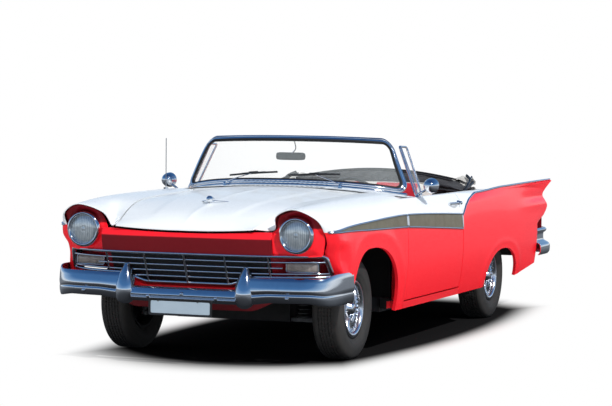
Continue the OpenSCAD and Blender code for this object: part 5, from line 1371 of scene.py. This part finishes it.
piece = makeWall("windshieldGlass", "body_shell", wsPoint(across, v) + 2.6 * normal,
                 wsPoint(across, v) - 2.6 * normal, [glass, glass], slot="clear_glass")
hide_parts("windshield_glass")

top = wsPoint(0.0, 1 - frameV / 2) - 15.3 * wsNormal(0.0, 0.9)
lean = np.linspace(-1, 1, 41)[:, None]
housing = roundBox(20, 54, 32, 3.2)
size = (1 - np.abs(lean) ** 9) ** (1 / 3)
ring = np.stack([112 * lean + 0 * housing[:, 0] - 50, 63 + size * housing[:, 0] + 6 * lean**2,
                 -120 + size * housing[:, 1] + 0 * lean], 2)
faces, uv = gridFaces(41, 32, False, True)
piece = addPart("mirrorHousing", "body_shell", oriented(((ring + top).reshape(-1, 3), faces, uv)),
                darkTrim, slot="black_plastic")
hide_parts("inside_mirror")
stalk = smoothLine([(0, 0, 2), (2, 14, -24), (-2, 40, -66), (-34, 58, -98)], 20) + top
cup = lathe(smoothLine([(0, 3), (10, 2), (16, -4), (14, -10), (0, -12)], 16), 24, top + [0, 2, 2], "z")
addPart("mirrorStalk", "body_shell", joined(tubePath(stalk, 4, 12), oriented(cup)), chrome)

wiperParts, rubberParts = [], []
for x, lead in ((-420.0, 200.0), (430.0, -190.0)):
    y = float(baseY(x)) - 40
    foot = np.array([x, y, float(cowlZ(x, y)) + 0.9])
    u = (x + lead) / wsX
    i = np.linspace(-2.2, 2.2, 34)
    blade = wsPoint(u + 0.1 * i, 0.17 + 0.015 * i) + 24 * wsNormal(u + 0.1 * i, 0.17 + 0 * i)
    rest = blade[17]
    wiperParts.append(oriented(lathe(smoothLine([(0, 27), (7, 26), (11, 20), (13, 8), (14, 0), (0, 0)],
                                                20), 24, foot, "z")))
    arm = smoothLine([foot + [0, 0, 20], foot + (rest - foot) * 0.12 + [0, -2, 26],
                      foot + (rest - foot) * 0.55 + [0, -4, 16], rest + [0, -2, 2]], 24)
    wiperParts.append(tubePath(arm, 5.0, 10, False, 0.6))
    rubberParts.append(sweep(blade, (0, 1, 0), (0, 0, 1), roundBox(7, 13, 12)))
    rubberParts.append(sweep(blade[9:26] + [0, -5, 3], (0, 1, 0), (0, 0, 1), roundBox(9, 11, 12)))
    rubberParts.append(sweep(blade[14:21] + [0, -9, 6], (0, 1, 0), (0, 0, 1), roundBox(12, 15, 12)))
piece = addPart("wiperArms", "body_shell", joined(*wiperParts), chrome)
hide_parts("wipers")
piece = addPart("wiperBlades", "body_shell", joined(*rubberParts), darkTrim, slot="black_plastic")
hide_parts("wipers")


def leanX(v):
    return doorIn + 12 - 0.42 * v


mirrorHead = np.array([985, yFa + 1030, 1082], float)
mirrorFoot = np.array([902, yFa + 1018, bz + seatGap], float)
for side, word in ((1, "left"), (-1, "right")):
    line = evenly(filleted([(38, 8), (170, 8), (236, 334), (92, 340)], 16), 8)
    path = np.stack([leanX(line[:, 1]), wsY + line[:, 0], bz + seatGap + line[:, 1]], 1)
    parts = [tubePath(path, 7.5, 12, True)]
    low, high = np.array([leanX(8), wsY + 88, bz + 10]), np.array([leanX(336), wsY + 122, bz + 336])
    parts.append(tubePath(low + (high - low) * np.linspace(0, 1, 12)[:, None], 5, 10))
    parts = joined(*parts)
    piece = addPart("ventFrame" + word.title(), "door_" + word, parts if side > 0 else mirrored(parts),
                    chrome)
    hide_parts("door_fittings_" + word)
    a, b = np.linspace(0, 1, 14)[:, None], np.linspace(0, 1, 20)
    v = 8 + 328 * b + 0 * a
    y = (38 + 54 * b) * (1 - a) + (222 + 30 * b) * a
    pane = np.stack([leanX(v), wsY + y, bz + seatGap + v], 2)
    makeWall("ventGlass" + word.title(), "door_" + word, pane + [2, 0, 0], pane - [2, 0, 0],
             [glass, glass], side, slot="clear_glass")
    head = lathe(smoothLine([(0, -48), (14, -46), (28, -39), (41, -22), (49, 2), (52, 24), (52.5, 34),
                             (50, 37), (46, 34), (0, 33)], 60), 48, mirrorHead, "y")
    stalk = smoothLine([mirrorFoot + [0, 0, 4], mirrorFoot + [10, 0, 24], mirrorFoot + [46, 4, 46],
                        mirrorHead + [-26, 2, -10]], 24)
    base = lathe(smoothLine([(0, 16), (9, 15), (15, 10), (19, 3), (20, 0), (0, 0)], 20), 32, mirrorFoot,
                 "z")
    parts = joined(oriented(head), tubePath(stalk, 8, 14), oriented(base))
    piece = addPart("doorMirror" + word.title(), "door_" + word, parts if side > 0 else mirrored(parts),
                    chrome, angle=50)
    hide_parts("door_fittings_" + word)
print("windshield, mirrors and vents made")


# wheels and tyres

hubZ, rimHalf, tyreR = 326.0, 74.0, 326.0
coverLine = smoothLine([(0, 10), (14, 9.5), (28, 6), (36, -2), (42, -12), (52, -26), (64, -37),
                        (96, -40), (130, -34), (146, -26),
                        (152, -8), (158, 3), (168, 8), (178, 7.5), (183, 3)], 60)
coverLine[:, 1] += rimHalf
rimLine = np.array([(176, -74), (176, -80), (191, -80), (191, -74), (184, -72), (180, -60), (172, -40),
                    (172, 40), (180, 62), (184, 72),
                    (191, 75), (191, 80), (184, 81), (178, 76), (168, 60), (164, 30), (150, 16), (60, 6),
                    (60, -36), (20, -36), (20, -30),
                    (56, -30), (60, 0), (150, 10), (160, 20), (164, -40), (170, -66), (176, -74)], float)
treadHalf, grooves = 64.0, (-42.0, -21.0, 0.0, 21.0, 42.0)
b = rimHalf - 8
sideLine = smoothLine([(184.3, -b), (192, -b - 7), (200, -b - 15), (208, -86), (216, -91), (228, -98),
                       (258, -101), (282, -96.5), (300, -91.5), (313, -84), (321, -74), (325, -66)], 40)
sideLine[:, 1] -= 0.4 * np.exp(-((sideLine[:, 0] - 208) / 2.5) ** 2) + 0.5 * np.exp(-((sideLine[:,
        0] - 246) / 2.5) ** 2)
crown = np.linspace(-treadHalf, treadHalf, 78)
depth = sum(np.clip(1 - np.abs(crown - g) / 3.4, 0, 1) ** 0.5 for g in grooves)
crown = np.stack([tyreR - 7 * depth - 1.5 * (crown / treadHalf) ** 4, crown], 1)
tyreLine = np.concatenate([sideLine, crown, sideLine[::-1] * [1, -1], [(184.3, b), (184.3, -b)]])


coverMetal = metalFinish("coverMetal", (0.92, 0.93, 0.95), (0.74, 0.76, 0.8), 0.17, 0.1, 40.0, 0.05)


def coverPart(centre):
    turn = np.linspace(0, 2 * np.pi, 256, endpoint=False)[:, None]
    r, s = coverLine[:, 0], coverLine[:, 1]
    wave = (0.5 + 0.5 * np.cos(32 * turn)) ** 1.6
    fin = wave * (22 - 8 * ease(70, 140, r)) * ease(54, 68, r) * ease(149, 141, r)
    place = s + fin
    front = np.stack([place, r * np.cos(turn), r * np.sin(turn)], 2)
    back = front[:, ::-1] - [3.0, 0, 0]
    grid = np.concatenate([front, back], 1) + centre
    faces, uv = gridFaces(grid.shape[0], grid.shape[1], True)
    return oriented((grid.reshape(-1, 3), faces, uv))


for end, y, half in (("front", yFa, 742.0), ("rear", yRa, 752.0)):
    for side, word in ((1, "left"), (-1, "right")):
        name, hub = end + "_" + word, np.array([half, y, hubZ])
        turn = (lambda part: part) if side > 0 else mirrored
        label = end.title() + word.title()
        piece = addPart("wheelCover" + label, "wheel_" + name, turn(coverPart(hub)), coverMetal,
                        angle=70)
        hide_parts("wheel_" + name)
        piece = addPart("wheelRim" + label, "wheel_" + name,
                        turn(oriented(lathe(rimLine, 96, hub, "x"))), black, slot="steel", angle=45)
        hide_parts("wheel_" + name)
        piece = addPart("tyre" + label, "wheel_" + name, turn(oriented(lathe(tyreLine, 128, hub, "x"))),
                        rubber, slot="tyre_rubber", angle=60)
        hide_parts("tyre_" + name)
        valve = tubePath([hub + [rimHalf - 6, 0, 160], hub + [rimHalf + 4, 0, 161],
                          hub + [rimHalf + 13, 0, 162]], 4, 10)
        addPart("valve" + label, "wheel_" + name, turn(valve), darkTrim, slot="black_plastic")
print("wheels and tyres made")


# side trim: the ribbed spear, the moulding that runs up to the fin, door handles

upperEdge = smoothLine([(-2450, 853), (-2160, 876), (-1878, 888), (-1500, 899), (-1124, 902),
                        (-559, 884), (-200, 868), (96, 853)], 120)
lowerEdge = smoothLine([(-2450, 847), (-2160, 845), (-1877, 838), (-1500, 830), (-1117, 819),
                        (-555, 788), (62, 751), (96, 749)], 120)


# x of the body's side at places y and heights z, read from a grid of the same surface
def onSide(grid, y, z):
    across = np.array([np.interp(z, g[:, 2], g[:, 0]) for g in grid])
    along = np.array([np.interp(z, g[:, 2], g[:, 1]) for g in grid])
    return np.array([np.interp(place, along[:, k], across[:, k]) for k, place in enumerate(y)])


fenderSide = fenderGrids(fenderY, 34, 40)[0][:, :35]
doorSide = doorGrids(doorY, 30, 8)[0][:, :31]
quarterSide = quarterOuter[:, :47]
spearFinish = Finish("spearInsert")
sx, sy, sz = spearFinish.axes()
comb = (sy * 6.28318 * 130.0).sine()
wear = spearFinish.noise(16.0, 5.0)
spearGold = spearFinish.surface(colour=spearFinish.mix(comb * 0.22 + wear * 0.6, (0.36, 0.31, 0.21),
                                                       (0.17, 0.145, 0.10)), metallic=0.75,
                                roughness=0.34 + wear * 0.2, normal=spearFinish.bump(comb, 0.4, 0.0012))


def spearPieces(word, body, side, grid, y0, y1):
    y = np.linspace(y0, y1, 90)
    top, low = (np.interp(y, edge[:, 0], edge[:, 1]) for edge in (upperEdge, lowerEdge))
    outline = np.concatenate([np.stack([y, top], 1), np.stack([y, low], 1)[::-1]])
    outline = evenly(outline, 9)
    path = np.stack([onSide(grid, outline[:, 0], outline[:, 1]) + 1.5, outline[:, 0], outline[:, 1]], 1)
    border = tubePath(path, 8.5, 12, True, 0.8)
    v = np.linspace(0, 1, 9)
    z = low[:, None] + (top - low)[:, None] * v
    x = onSide(grid, np.repeat(y, 9), z.ravel()).reshape(z.shape) + 2.5
    insert = np.stack([x, y[:, None] + 0 * z, z], 2)
    addPart("spearBorder" + word, body, border if side > 0 else mirrored(border), chrome)
    makeWall("spearInsert" + word, body, insert, insert - [3.0, 0, 0], [spearGold, spearGold], side)


for side, word in ((1, "left"), (-1, "right")):
    spearPieces("Fender" + word.title(), "body_shell", side, fenderSide, -2446.0, yDoor - gap - 5)
    spearPieces("Door" + word.title(), "door_" + word, side, doorSide, yDoor + 5, yDoorEnd - 6)
    start = quarterY[(quarterY > 100) & (quarterY < 480)]
    height = np.interp(start, [98, 120, 183, 240, 300, 403, 480], [850, 868, 914, 938, 957, 979, 993])
    columns = quarterSide[(quarterY > 100) & (quarterY < 480)]
    rise = np.array([[np.interp(z, g[:, 2], g[:, 0]), place, z] for z, place,
                     g in zip(height, start, columns)])
    rise = smoothLine(np.concatenate([[[rise[0, 0], 99.5, 845]], rise]), 60)
    crest = crestPath[quarterY >= 480]
    line = np.concatenate([rise + [3, 0, 0], crest + [1, 0, 2]])
    moulding = tubePath(line, 8.5, 12, False, 0.9)
    addPart("quarterMoulding" + word.title(), "body_shell", moulding if side > 0 else mirrored(moulding),
            chrome)
    place = np.linspace(-205, 20, 40)
    x = onSide(doorSide, place, 938 + 0 * place)
    grip = np.stack([x + 4 + 20 * np.sin(np.pi * np.clip((place + 195) / 190, 0, 1)) ** 0.6, place,
                     938 + 0 * place], 1)
    bar = sweep(grip, (1, 0, 0), (0, 0, 1), roundBox(10, 17, 16, 2.6))
    lug = lathe(smoothLine([(0, 30), (9, 29), (12, 24), (13, 12), (17, 3), (18, -6)], 24), 32,
                (x[-1] - 3, 24, 936), "x")
    handle = joined(bar, oriented(lug))
    addPart("doorHandle" + word.title(), "door_" + word, handle if side > 0 else mirrored(handle),
            chrome)
print("side trim made")


# cabin: seats, door cards, dashboard, folded top

def padForm(outline, x0, x1, channels, depth, crown, count=81):  # a closed cushion; outline in y and z
    line = evenly(filleted(outline, 45, 10), 14)
    middle = line.mean(0)
    step = np.roll(line, -1, 0) - np.roll(line, 1, 0)
    out = np.stack([step[:, 1], -step[:, 0]], 1) / np.linalg.norm(step, axis=1, keepdims=True)
    out *= np.sign(np.sum(out * (line - middle), 1).mean())
    share = np.linspace(-1, 1, count)
    share = np.sign(share) * (1 - (1 - np.abs(share)) ** 1.6)
    end = (1 - np.abs(share) ** 10) ** 0.5
    groove = np.zeros(count)
    for place in channels:
        groove += np.exp(-(((share * (x1 - x0) / 2 + (x0 + x1) / 2) - place) / 7.0) ** 2)
    upper = np.clip((line[:, 1] - middle[1]) / np.abs(line[:, 1] - middle[1]).max(), 0, 1) ** 0.3
    swell = crown * (1 - share**2)[:, None] ** 0.5 * upper - depth * groove[:, None] * upper
    swell = swell + 1.6 * np.sin(share[:, None] * 31 + line[:, 1] * 0.02) * np.sin(line[:,
            0] * 0.03 + share[:, None] * 9)
    shrink = 26 * (1 - end)[:, None]
    yz = line[None] + out[None] * (swell - shrink)[..., None]
    x = (x0 + x1) / 2 + share * (x1 - x0) / 2
    ring = np.concatenate([np.repeat(x[:, None, None], len(line), 1), yz], 2)
    cap0, cap1 = np.repeat(ring[:1].mean(1, keepdims=True), len(line),
                           1), np.repeat(ring[-1:].mean(1, keepdims=True), len(line), 1)
    first = cap0 + (ring[:1] - cap0) * 0.5
    last = cap1 + (ring[-1:] - cap1) * 0.5
    ring = np.concatenate([cap0, first, ring, last, cap1])
    faces, uv = gridFaces(len(ring), len(line), False, True)
    return oriented((ring.reshape(-1, 3), faces, uv))


seatFinish = Finish("seatVinyl")
px, py, pz = seatFinish.axes()
reach = px.size()
whitePanel = seatFinish.node("ShaderNodeMath", {"operation": "GREATER_THAN"}, {0: reach, 1: 0.60})
band = seatFinish.node("ShaderNodeMath", {"operation": "LESS_THAN"},
                       {0: (reach - 0.235).size(), 1: 0.045})
panel = seatFinish.node("ShaderNodeMath", {"operation": "MAXIMUM"}, {0: whitePanel, 1: band})
cells = seatFinish.node("ShaderNodeTexVoronoi", {}, {"Vector": seatFinish.place(), "Scale": 520.0},
                        "Distance")
folds = seatFinish.noise(9.0, 4.0)
redPart = seatFinish.mix(folds, (0.66, 0.018, 0.04), (0.45, 0.01, 0.02))
palePart = seatFinish.mix(folds, (0.80, 0.79, 0.76), (0.62, 0.6, 0.57))
seatVinyl = seatFinish.surface(colour=seatFinish.mix(panel, redPart, palePart),
                               roughness=0.38 + folds * 0.12, specular=0.4,
                               normal=seatFinish.bump(cells + folds * 2.0, 0.25, 0.0012))
seatY, seatZ = yDoorEnd - 30, 675.0
frontCushion = [(seatY - 516, seatZ - 176), (seatY - 540, seatZ - 95), (seatY - 522, seatZ - 22),
                (seatY - 455, seatZ - 4),
                (seatY - 200, seatZ - 14), (seatY - 18, seatZ - 32), (seatY - 12, seatZ - 176)]
frontBack = [(seatY - 4, seatZ - 26), (seatY + 30, seatZ + 150), (seatY + 70, seatZ + 350),
             (seatY + 100, seatZ + 388),
             (seatY + 142, seatZ + 384), (seatY + 160, seatZ + 340), (seatY + 134, seatZ + 120),
             (seatY + 112, seatZ - 40),
             (seatY + 74, seatZ - 170), (seatY + 6, seatZ - 170)]
rearY, rearZ = yRa - 810, 480.3
rearCushion = [(rearY - 15, rearZ + 6), (rearY - 35, rearZ + 88), (rearY - 16, rearZ + 134),
               (rearY + 34, rearZ + 152),
               (rearY + 200, rearZ + 140), (rearY + 344, rearZ + 124), (rearY + 348, rearZ + 6)]
rearBack = [(rearY + 352, rearZ + 12), (rearY + 356, rearZ + 134), (rearY + 424, rearZ + 420),
            (rearY + 448, rearZ + 442),
            (rearY + 492, rearZ + 438), (rearY + 442, rearZ + 126), (rearY + 433, rearZ + 12)]
pleats = [k * 62.0 for k in range(-7, 8)]
for name, line, half, node in (("frontCushion", frontCushion, 696, "front_seat"),
                               ("frontBackrest", frontBack, 696, "front_seat"),
                               ("rearCushion", rearCushion, 611, "rear_seat"),
                               ("rearBackrest", rearBack, 611, "rear_seat")):
    piece = addPart(name, "body_shell", padForm(line, -half, half, pleats, 5.0, 4.0), seatVinyl,
                    slot="seat_vinyl", angle=80)
    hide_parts(node)
base = []
for x in (-418.0, 418.0):
    path = np.array([(x, seatY - 470, 405), (x, seatY - 250, 405), (x, seatY - 20, 405)])
    base.append(sweep(path, (1, 0, 0), (0, 0, 1), roundBox(440, 118, 32, 10)))
addPart("seatBase", "body_shell", joined(*base), darkTrim, slot="black_plastic", angle=50)
pipes = []
for line, half, place in ((frontCushion, 660, 3), (frontBack, 660, 3), (rearCushion, 578, 3),
                          (rearBack, 578, 3)):
    high = np.array(sorted(line, key=lambda p: -p[1])[:2]).mean(0)
    x = np.linspace(-half, half, 60)
    pipes.append(tubePath(np.stack([x, high[0] + 0 * x, high[1] + place + 3 * (1 - (x / half) ** 2)], 1),
                          3.5, 8))
addPart("seatPiping", "body_shell", joined(*pipes), whiteVinyl, slot="seat_vinyl")

for side, word in ((1, "left"), (-1, "right")):
    y, z = np.linspace(yDoor + 60, yDoorEnd - 26, 90), np.linspace(372, 978, 40)
    pleat = 2.5 * np.abs(np.sin(y / 38.0))[:, None] * (ease(900, 880, z) * ease(560, 580, z))
    x = doorIn - 7 - pleat + 5 * (1 - ease(372, 392, z)) + 5 * (1 - ease(978, 962, z))
    card = np.stack([x, y[:, None] + 0 * x, z + 0 * x], 2)
    back = np.stack([doorIn - 0.5 + 0 * x, y[:, None] + 0 * x, z + 0 * x], 2)
    makeWall("doorCard" + word.title(), "door_" + word, back, card, [vinyl, vinyl], side,
             slot="seat_vinyl")
    strips = [sweep([(doorIn - 12, a, h) for a in (yDoor + 70, yDoor + 500, yDoorEnd - 36)], (1, 0, 0),
                    (0, 0, 1), roundBox(5, 9, 12))
              for h in (570, 892)]
    crank = np.array([doorIn - 22, yDoor + 420, 700.0])
    knob = lathe(smoothLine([(0, -22), (9, -20), (10, -12), (6, -4), (6, 2)], 16), 20,
                 crank + [-4, 96, -30], "x")
    boss = lathe(smoothLine([(0, -10), (12, -8), (17, 0), (19, 14)], 16), 28, crank, "x")
    parts = joined(*strips, tubePath([crank + [-4, 0, 0], crank + [-6, 50, -16], crank + [-6, 96, -30]],
                                     6, 10), oriented(knob), oriented(boss))
    addPart("doorTrim" + word.title(), "door_" + word, parts if side > 0 else mirrored(parts), chrome)
    rest = sweep([(doorIn - 32, a,
                   668 - 6 * abs(a - yDoor - 800) / 200) for a in np.linspace(yDoor + 600, yDoor + 1000,
                           20)], (1, 0, 0), (0, 0, 1), roundBox(44, 46, 24, 3))
    addPart("armrest" + word.title(), "door_" + word, rest if side > 0 else mirrored(rest), vinyl,
            slot="seat_vinyl")

# dashboard: padded face, chrome strip, dials in front of the driver, knobs
dashX = np.linspace(-cowlX + 30, cowlX - 30, 81)
dashShape = roundBox(44, 118, 40, 3.5)
dashPath = np.stack([dashX, wsY - 18 + 8 * (dashX / cowlX) ** 2, 925 + 0 * dashX], 1)
piece = addPart("dashFace", "body_shell", sweep(dashPath, (0, 1, 0), (0, 0, 1), dashShape), darkRed,
                slot="red_paint")
strip = np.stack([dashX * 0.98, wsY + 5 + 8 * (dashX / cowlX) ** 2, 900 + 0 * dashX], 1)
parts = [sweep(strip, (0, 1, 0), (0, 0, 1), roundBox(8, 22, 14))]
for x in (-150, -90, -30, 30, 90, 150, 560, 620):
    parts.append(oriented(lathe(smoothLine([(0, 26), (9, 25), (12, 18), (9, 9), (6, 0)], 16), 24,
                                (x, wsY + 8, 900), "y")))
for x, r in ((300.0, 52.0), (430.0, 52.0), (-480.0, 36.0)):
    parts.append(oriented(lathe(np.array([(r - 5, 10), (r - 4, 16), (r, 18), (r + 4, 15), (r + 5, 8),
                                          (r + 3, -6), (r - 5, -6), (r - 5, 10)]), 56, (x, wsY + 4, 946),
                                          "y")))
addPart("dashTrim", "body_shell", joined(*[(p[0] * [1, 1, 1], p[1], p[2]) for p in parts]), chrome)
dialFinish = Finish("dialFace")
dx, dy, dz = dialFinish.axes()
turn = dialFinish.node("ShaderNodeMath", {"operation": "ARCTAN2"}, {0: dx - 0.3, 1: dz - 0.946})
ticks = dialFinish.node("ShaderNodeMath", {"operation": "GREATER_THAN"},
                        {0: (turn * 24.0).sine(), 1: 0.86})
away = ((dx - 0.3) ** 2 + (dz - 0.946) ** 2) ** 0.5
far = dialFinish.node("ShaderNodeMath", {"operation": "GREATER_THAN"}, {0: away, 1: 0.034})
dialFace = dialFinish.surface(colour=dialFinish.mix(ticks * far, (0.02, 0.022, 0.024), (0.8, 0.8, 0.76)),
                              roughness=0.35, coat=0.6)
dials = [oriented(lathe(np.array([(0, 3), (r - 5, 3), (r - 5, -4), (0, -4)]), 40, (x, wsY + 6, 946),
                        "y")) for x, r in ((300.0, 52.0), (430.0, 52.0), (-480.0, 36.0))]
addPart("dials", "body_shell", joined(*dials), dialFace, slot="black_plastic")
column = math.radians(28)
wheelAxis = np.array([0, math.cos(column), math.sin(column)])
wheelUp = np.array([0, -math.sin(column), math.cos(column)])
hub = np.array([380.0, yFa + 1188, 935.0])
turn = np.radians(np.linspace(200, 340, 40))[:, None]
horn = hub + np.array([1.0, 0, 0]) * 128 * np.cos(turn) + wheelUp * 128 * np.sin(turn) - wheelAxis * 2
arms = [tubePath([hub - wheelAxis * 14 + [s * 20, 0, 0],
                  hub - wheelAxis * 8 + [s * 80, 0, 0] + wheelUp * -20, horn[k]], 4, 10) for s,
                  k in ((-1, 0), (1, -1))]
boss = tubePath([hub - wheelAxis * 30, hub - wheelAxis * 10, hub - wheelAxis * 1, hub + wheelAxis * 6],
                34, 40)
addPart("hornRing", "steering_wheel", joined(tubePath(horn, 4.5, 10), *arms, boss), chrome)

# the folded top: one sheet laid in folds, its bows, and the pale lining that shows at the end
topY0, topY1, topBase = yRa - 466, lidFront - stripLength - 5, 968.0


def foldedSheet(folds, x0, x1, y0, y1, height, ripple, xCount=121, step=7.0):
    levels = (np.arange(folds) + 0.5) / folds
    r = 0.5 / folds
    path = []
    for k, level in enumerate(levels):
        run = np.linspace(0.04, 0.96, 40)
        path.append(np.stack([run if k % 2 == 0 else run[::-1], np.full(40, level)], 1))
        if k < folds - 1:
            a = np.radians(np.linspace(-80, 80, 7))
            end = 0.96 if k % 2 == 0 else 0.04
            path.append(np.stack([end + np.cos(a) * 0.035 * (1 if end > 0.5 else -1),
                                  level + r + np.sin(a) * r], 1))
    path = np.concatenate(path)
    x = np.linspace(x0, x1, xCount)[:, None]
    v, h = path[:, 0], path[:, 1]
    top = height(x, v)
    wave = sum(ripple * w * np.sin(x * a + v * b + h * c) for w, a, b,
               c in ((0.5, 0.021, 7.0, 9.0), (0.35, 0.047, -11.0, 17.0), (0.25, 0.083, 19.0, 5.0)))
    y = y0 + (y1 - y0) * v + 0.6 * wave
    return np.stack([x + 0 * y, y, topBase + (top - topBase) * h + wave * (0.35 + h)], 2)


def sheetPiece(name, grid, material, thick, slot):
    a, b = np.gradient(grid, axis=0), np.gradient(grid, axis=1)
    n = np.cross(a, b)
    n /= np.linalg.norm(n, axis=2, keepdims=True)
    points, faces, index = wallParts(grid + n * thick / 2, grid - n * thick / 2)
    piece = makePiece(name, "body_shell", points, faces, material, slot=slot, angle=80, check=False)
    return piece


def topHeight(x, v):
    hump = 145 - 62 * (x / 600) ** 2 + np.where(np.abs(x) > 600, -0.3 * (np.abs(x) - 600), 0)
    return 1000 + (hump - 4) * np.sin(np.radians(20 + 140 * v)) ** 0.8


grid = foldedSheet(5, -735, 735, topY0, topY1, topHeight, 5.0)
piece = sheetPiece("foldedCanvas", grid, topCloth, 3.0, "top_fabric")
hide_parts("folded_top")


def liningHeight(x, v):
    return 1046 + 52 * np.sin(np.radians(15 + 150 * v)) ** 0.7 + 10 * np.sin(x * 0.05)


for side, word in ((1, "Left"), (-1, "Right")):
    grid = foldedSheet(4, 590, 742, topY0 + 190, topY1, liningHeight, 5.0, 41)
    if side < 0:
        grid = grid[::-1] * [-1, 1, 1]
    sheetPiece("topLining" + word, grid, paleCloth, 2.4, "top_fabric")
bows = []
for a, b, c in (((772, topY0 - 40, 985), (764, topY0 + 90, 1040), (716, topY0 + 330, 1082)),
                ((764, topY0 - 10, 1000), (752, topY0 + 120, 1012), (738, topY0 + 300, 1046)),
                ((756, topY0 + 60, 992), (748, topY0 + 180, 1066), (700, topY0 + 250, 1098))):
    bows.append(tubePath(smoothLine([a, b, c], 20), 8, 12, False, 1.6))
addPart("topBows", "body_shell", bothSides(joined(*bows)), darkTrim, slot="black_plastic")
rods = []
for level, place in ((1132, 0.28), (1140, 0.5), (1128, 0.72)):
    x = np.linspace(-640, 640, 60)
    rods.append(tubePath(np.stack([x, topY0 + (topY1 - topY0) * place + 0 * x,
                                   level - 62 * (x / 600) ** 2], 1), 7, 10))
addPart("topRods", "body_shell", joined(*rods), topCloth, slot="top_fabric")
print("cabin and folded top made")


# hood ornament, tail lamps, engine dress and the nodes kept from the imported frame

def hoodHeight(x, y):
    return float(np.interp(x, *hoodGrid(hoodU, np.array([y]), 0)[:, 0, [0, 2]].T))


ornamentY = yFa - 430.0
ornament = np.array([0, ornamentY, hoodHeight(0, ornamentY)])
ball = lathe(smoothLine([(0, -34), (12, -30), (20, -16), (21, 0), (14, 26), (5, 60), (0, 78)], 40), 32,
             ornament + [0, 0, 24], "y")
wings = []
for s in (-1, 1):
    line = smoothLine([ornament + [s * 6, -6, 16], ornament + [s * 60, 44, 9],
                       ornament + [s * 112, 112, 2]], 24)
    wings.append(tubePath(line, 5.5, 12, False, 0.6))
keel = tubePath([ornament + [0, -20, 2], ornament + [0, 20, 6], ornament + [0, 70, 2]], 9, 14)
addPart("hoodOrnament", "hood", joined(oriented(ball), *wings, keel), chrome)

bezel = np.array([(70, 44), (74, 55), (82, 56), (88, 48), (90, 24), (86, 2), (70, 2), (70, 44)], float)
lens = smoothLine([(0, 78), (26, 74), (50, 64), (66, 52), (72, 44)], 40)
parts, lensParts = [], []
for s in (-1, 1):
    centre = (s * 796.0, rearPanelY + 22.3, 762.0)
    parts.append(oriented(lathe(bezel, 72, centre, "y")))
    lensParts.append(oriented(lathe(np.concatenate([lens, [(72, 6), (0, 6)]]), 72, centre, "y")))
cornerZ, cornerShare = np.linspace(512, 826, 30), np.linspace(0, 1, 8)
cornerOut = onSide(quarterSide, np.full(30, rearPanelY + 6), cornerZ) - 24
corner = np.stack([860 + (cornerOut[:, None] - 860) * cornerShare, np.full((30, 8), rearPanelY + 6),
                   cornerZ[:, None] + 0 * cornerShare], 2)
for s, word in ((1, "Left"), (-1, "Right")):
    makeWall("tailCorner" + word, "body_shell", corner, corner - [0, 3, 0], [darkRed, darkRed], s,
             slot="red_paint")
piece = addPart("tailBezels", "body_shell", joined(*parts), chrome, angle=60)
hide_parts("tail_lamps")
piece = addPart("tailLenses", "body_shell", joined(*lensParts), tailLens, slot="red_lens", angle=60)
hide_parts("tail_lamps")

blockTop = 400 + 480
cleaner = oriented(lathe(smoothLine([(0, 96), (60, 94), (150, 88), (178, 70), (182, 40), (170, 12),
                                     (120, 4), (0, 2)], 48), 64, (0, yFa + 60, blockTop), "z"))
wingNut = oriented(lathe(smoothLine([(0, 112), (8, 110), (10, 100), (16, 96), (0, 94)], 16), 20,
                         (0, yFa + 60, blockTop), "z"))
covers = []
for s in (-1, 1):
    path = np.stack([np.full(30, s * 215.0), np.linspace(yFa - 160, yFa + 420, 30),
                     np.full(30, blockTop + 18.0)], 1)
    covers.append(sweep(path, (1, 0, 0), (0, 0, 1), roundBox(120, 70, 28, 4)))
addPart("airCleaner", "body_shell", joined(cleaner, wingNut, *covers), castIron, slot="cast_iron",
        angle=50)
hoses = [tubePath(smoothLine([(s * 120, yFa - 190, blockTop - 40), (s * 130, yFa - 300, blockTop + 10),
                              (s * 60, yFa - 420, blockTop - 20), (s * 60, yFa - 505, 800)], 30), 22,
                              16) for s in (1,)]
addPart("radiatorHose", "body_shell", joined(*hoses), rubberSeal, slot="black_plastic")

deckPaint = twoToneFinish([(-2.64, 0.72), (1.9, 0.72), (2.0, 1.09), (2.64, 1.09)], whiteColour,
                          redColour)
nodeFinish = {
    "frame": black, "front_suspension": steel, "rear_axle": castIron, "exhaust": steel,
    "fuel_tank": black,
    "engine": castIron, "radiator": black, "floor": floorPan, "cowl": cowlPaint, "dashboard": darkTrim,
    "steering_column": darkTrim, "rear_panel": deckPaint, "antenna": chrome, "steering_linkage": steel,
    "knuckle_left": castIron, "knuckle_right": castIron, "steering_wheel": darkTrim,
}
for name, material in nodeFinish.items():
    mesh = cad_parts[name].data
    mesh.materials.clear()
    mesh.materials.append(material)
print("packed nodes finished")

low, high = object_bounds()
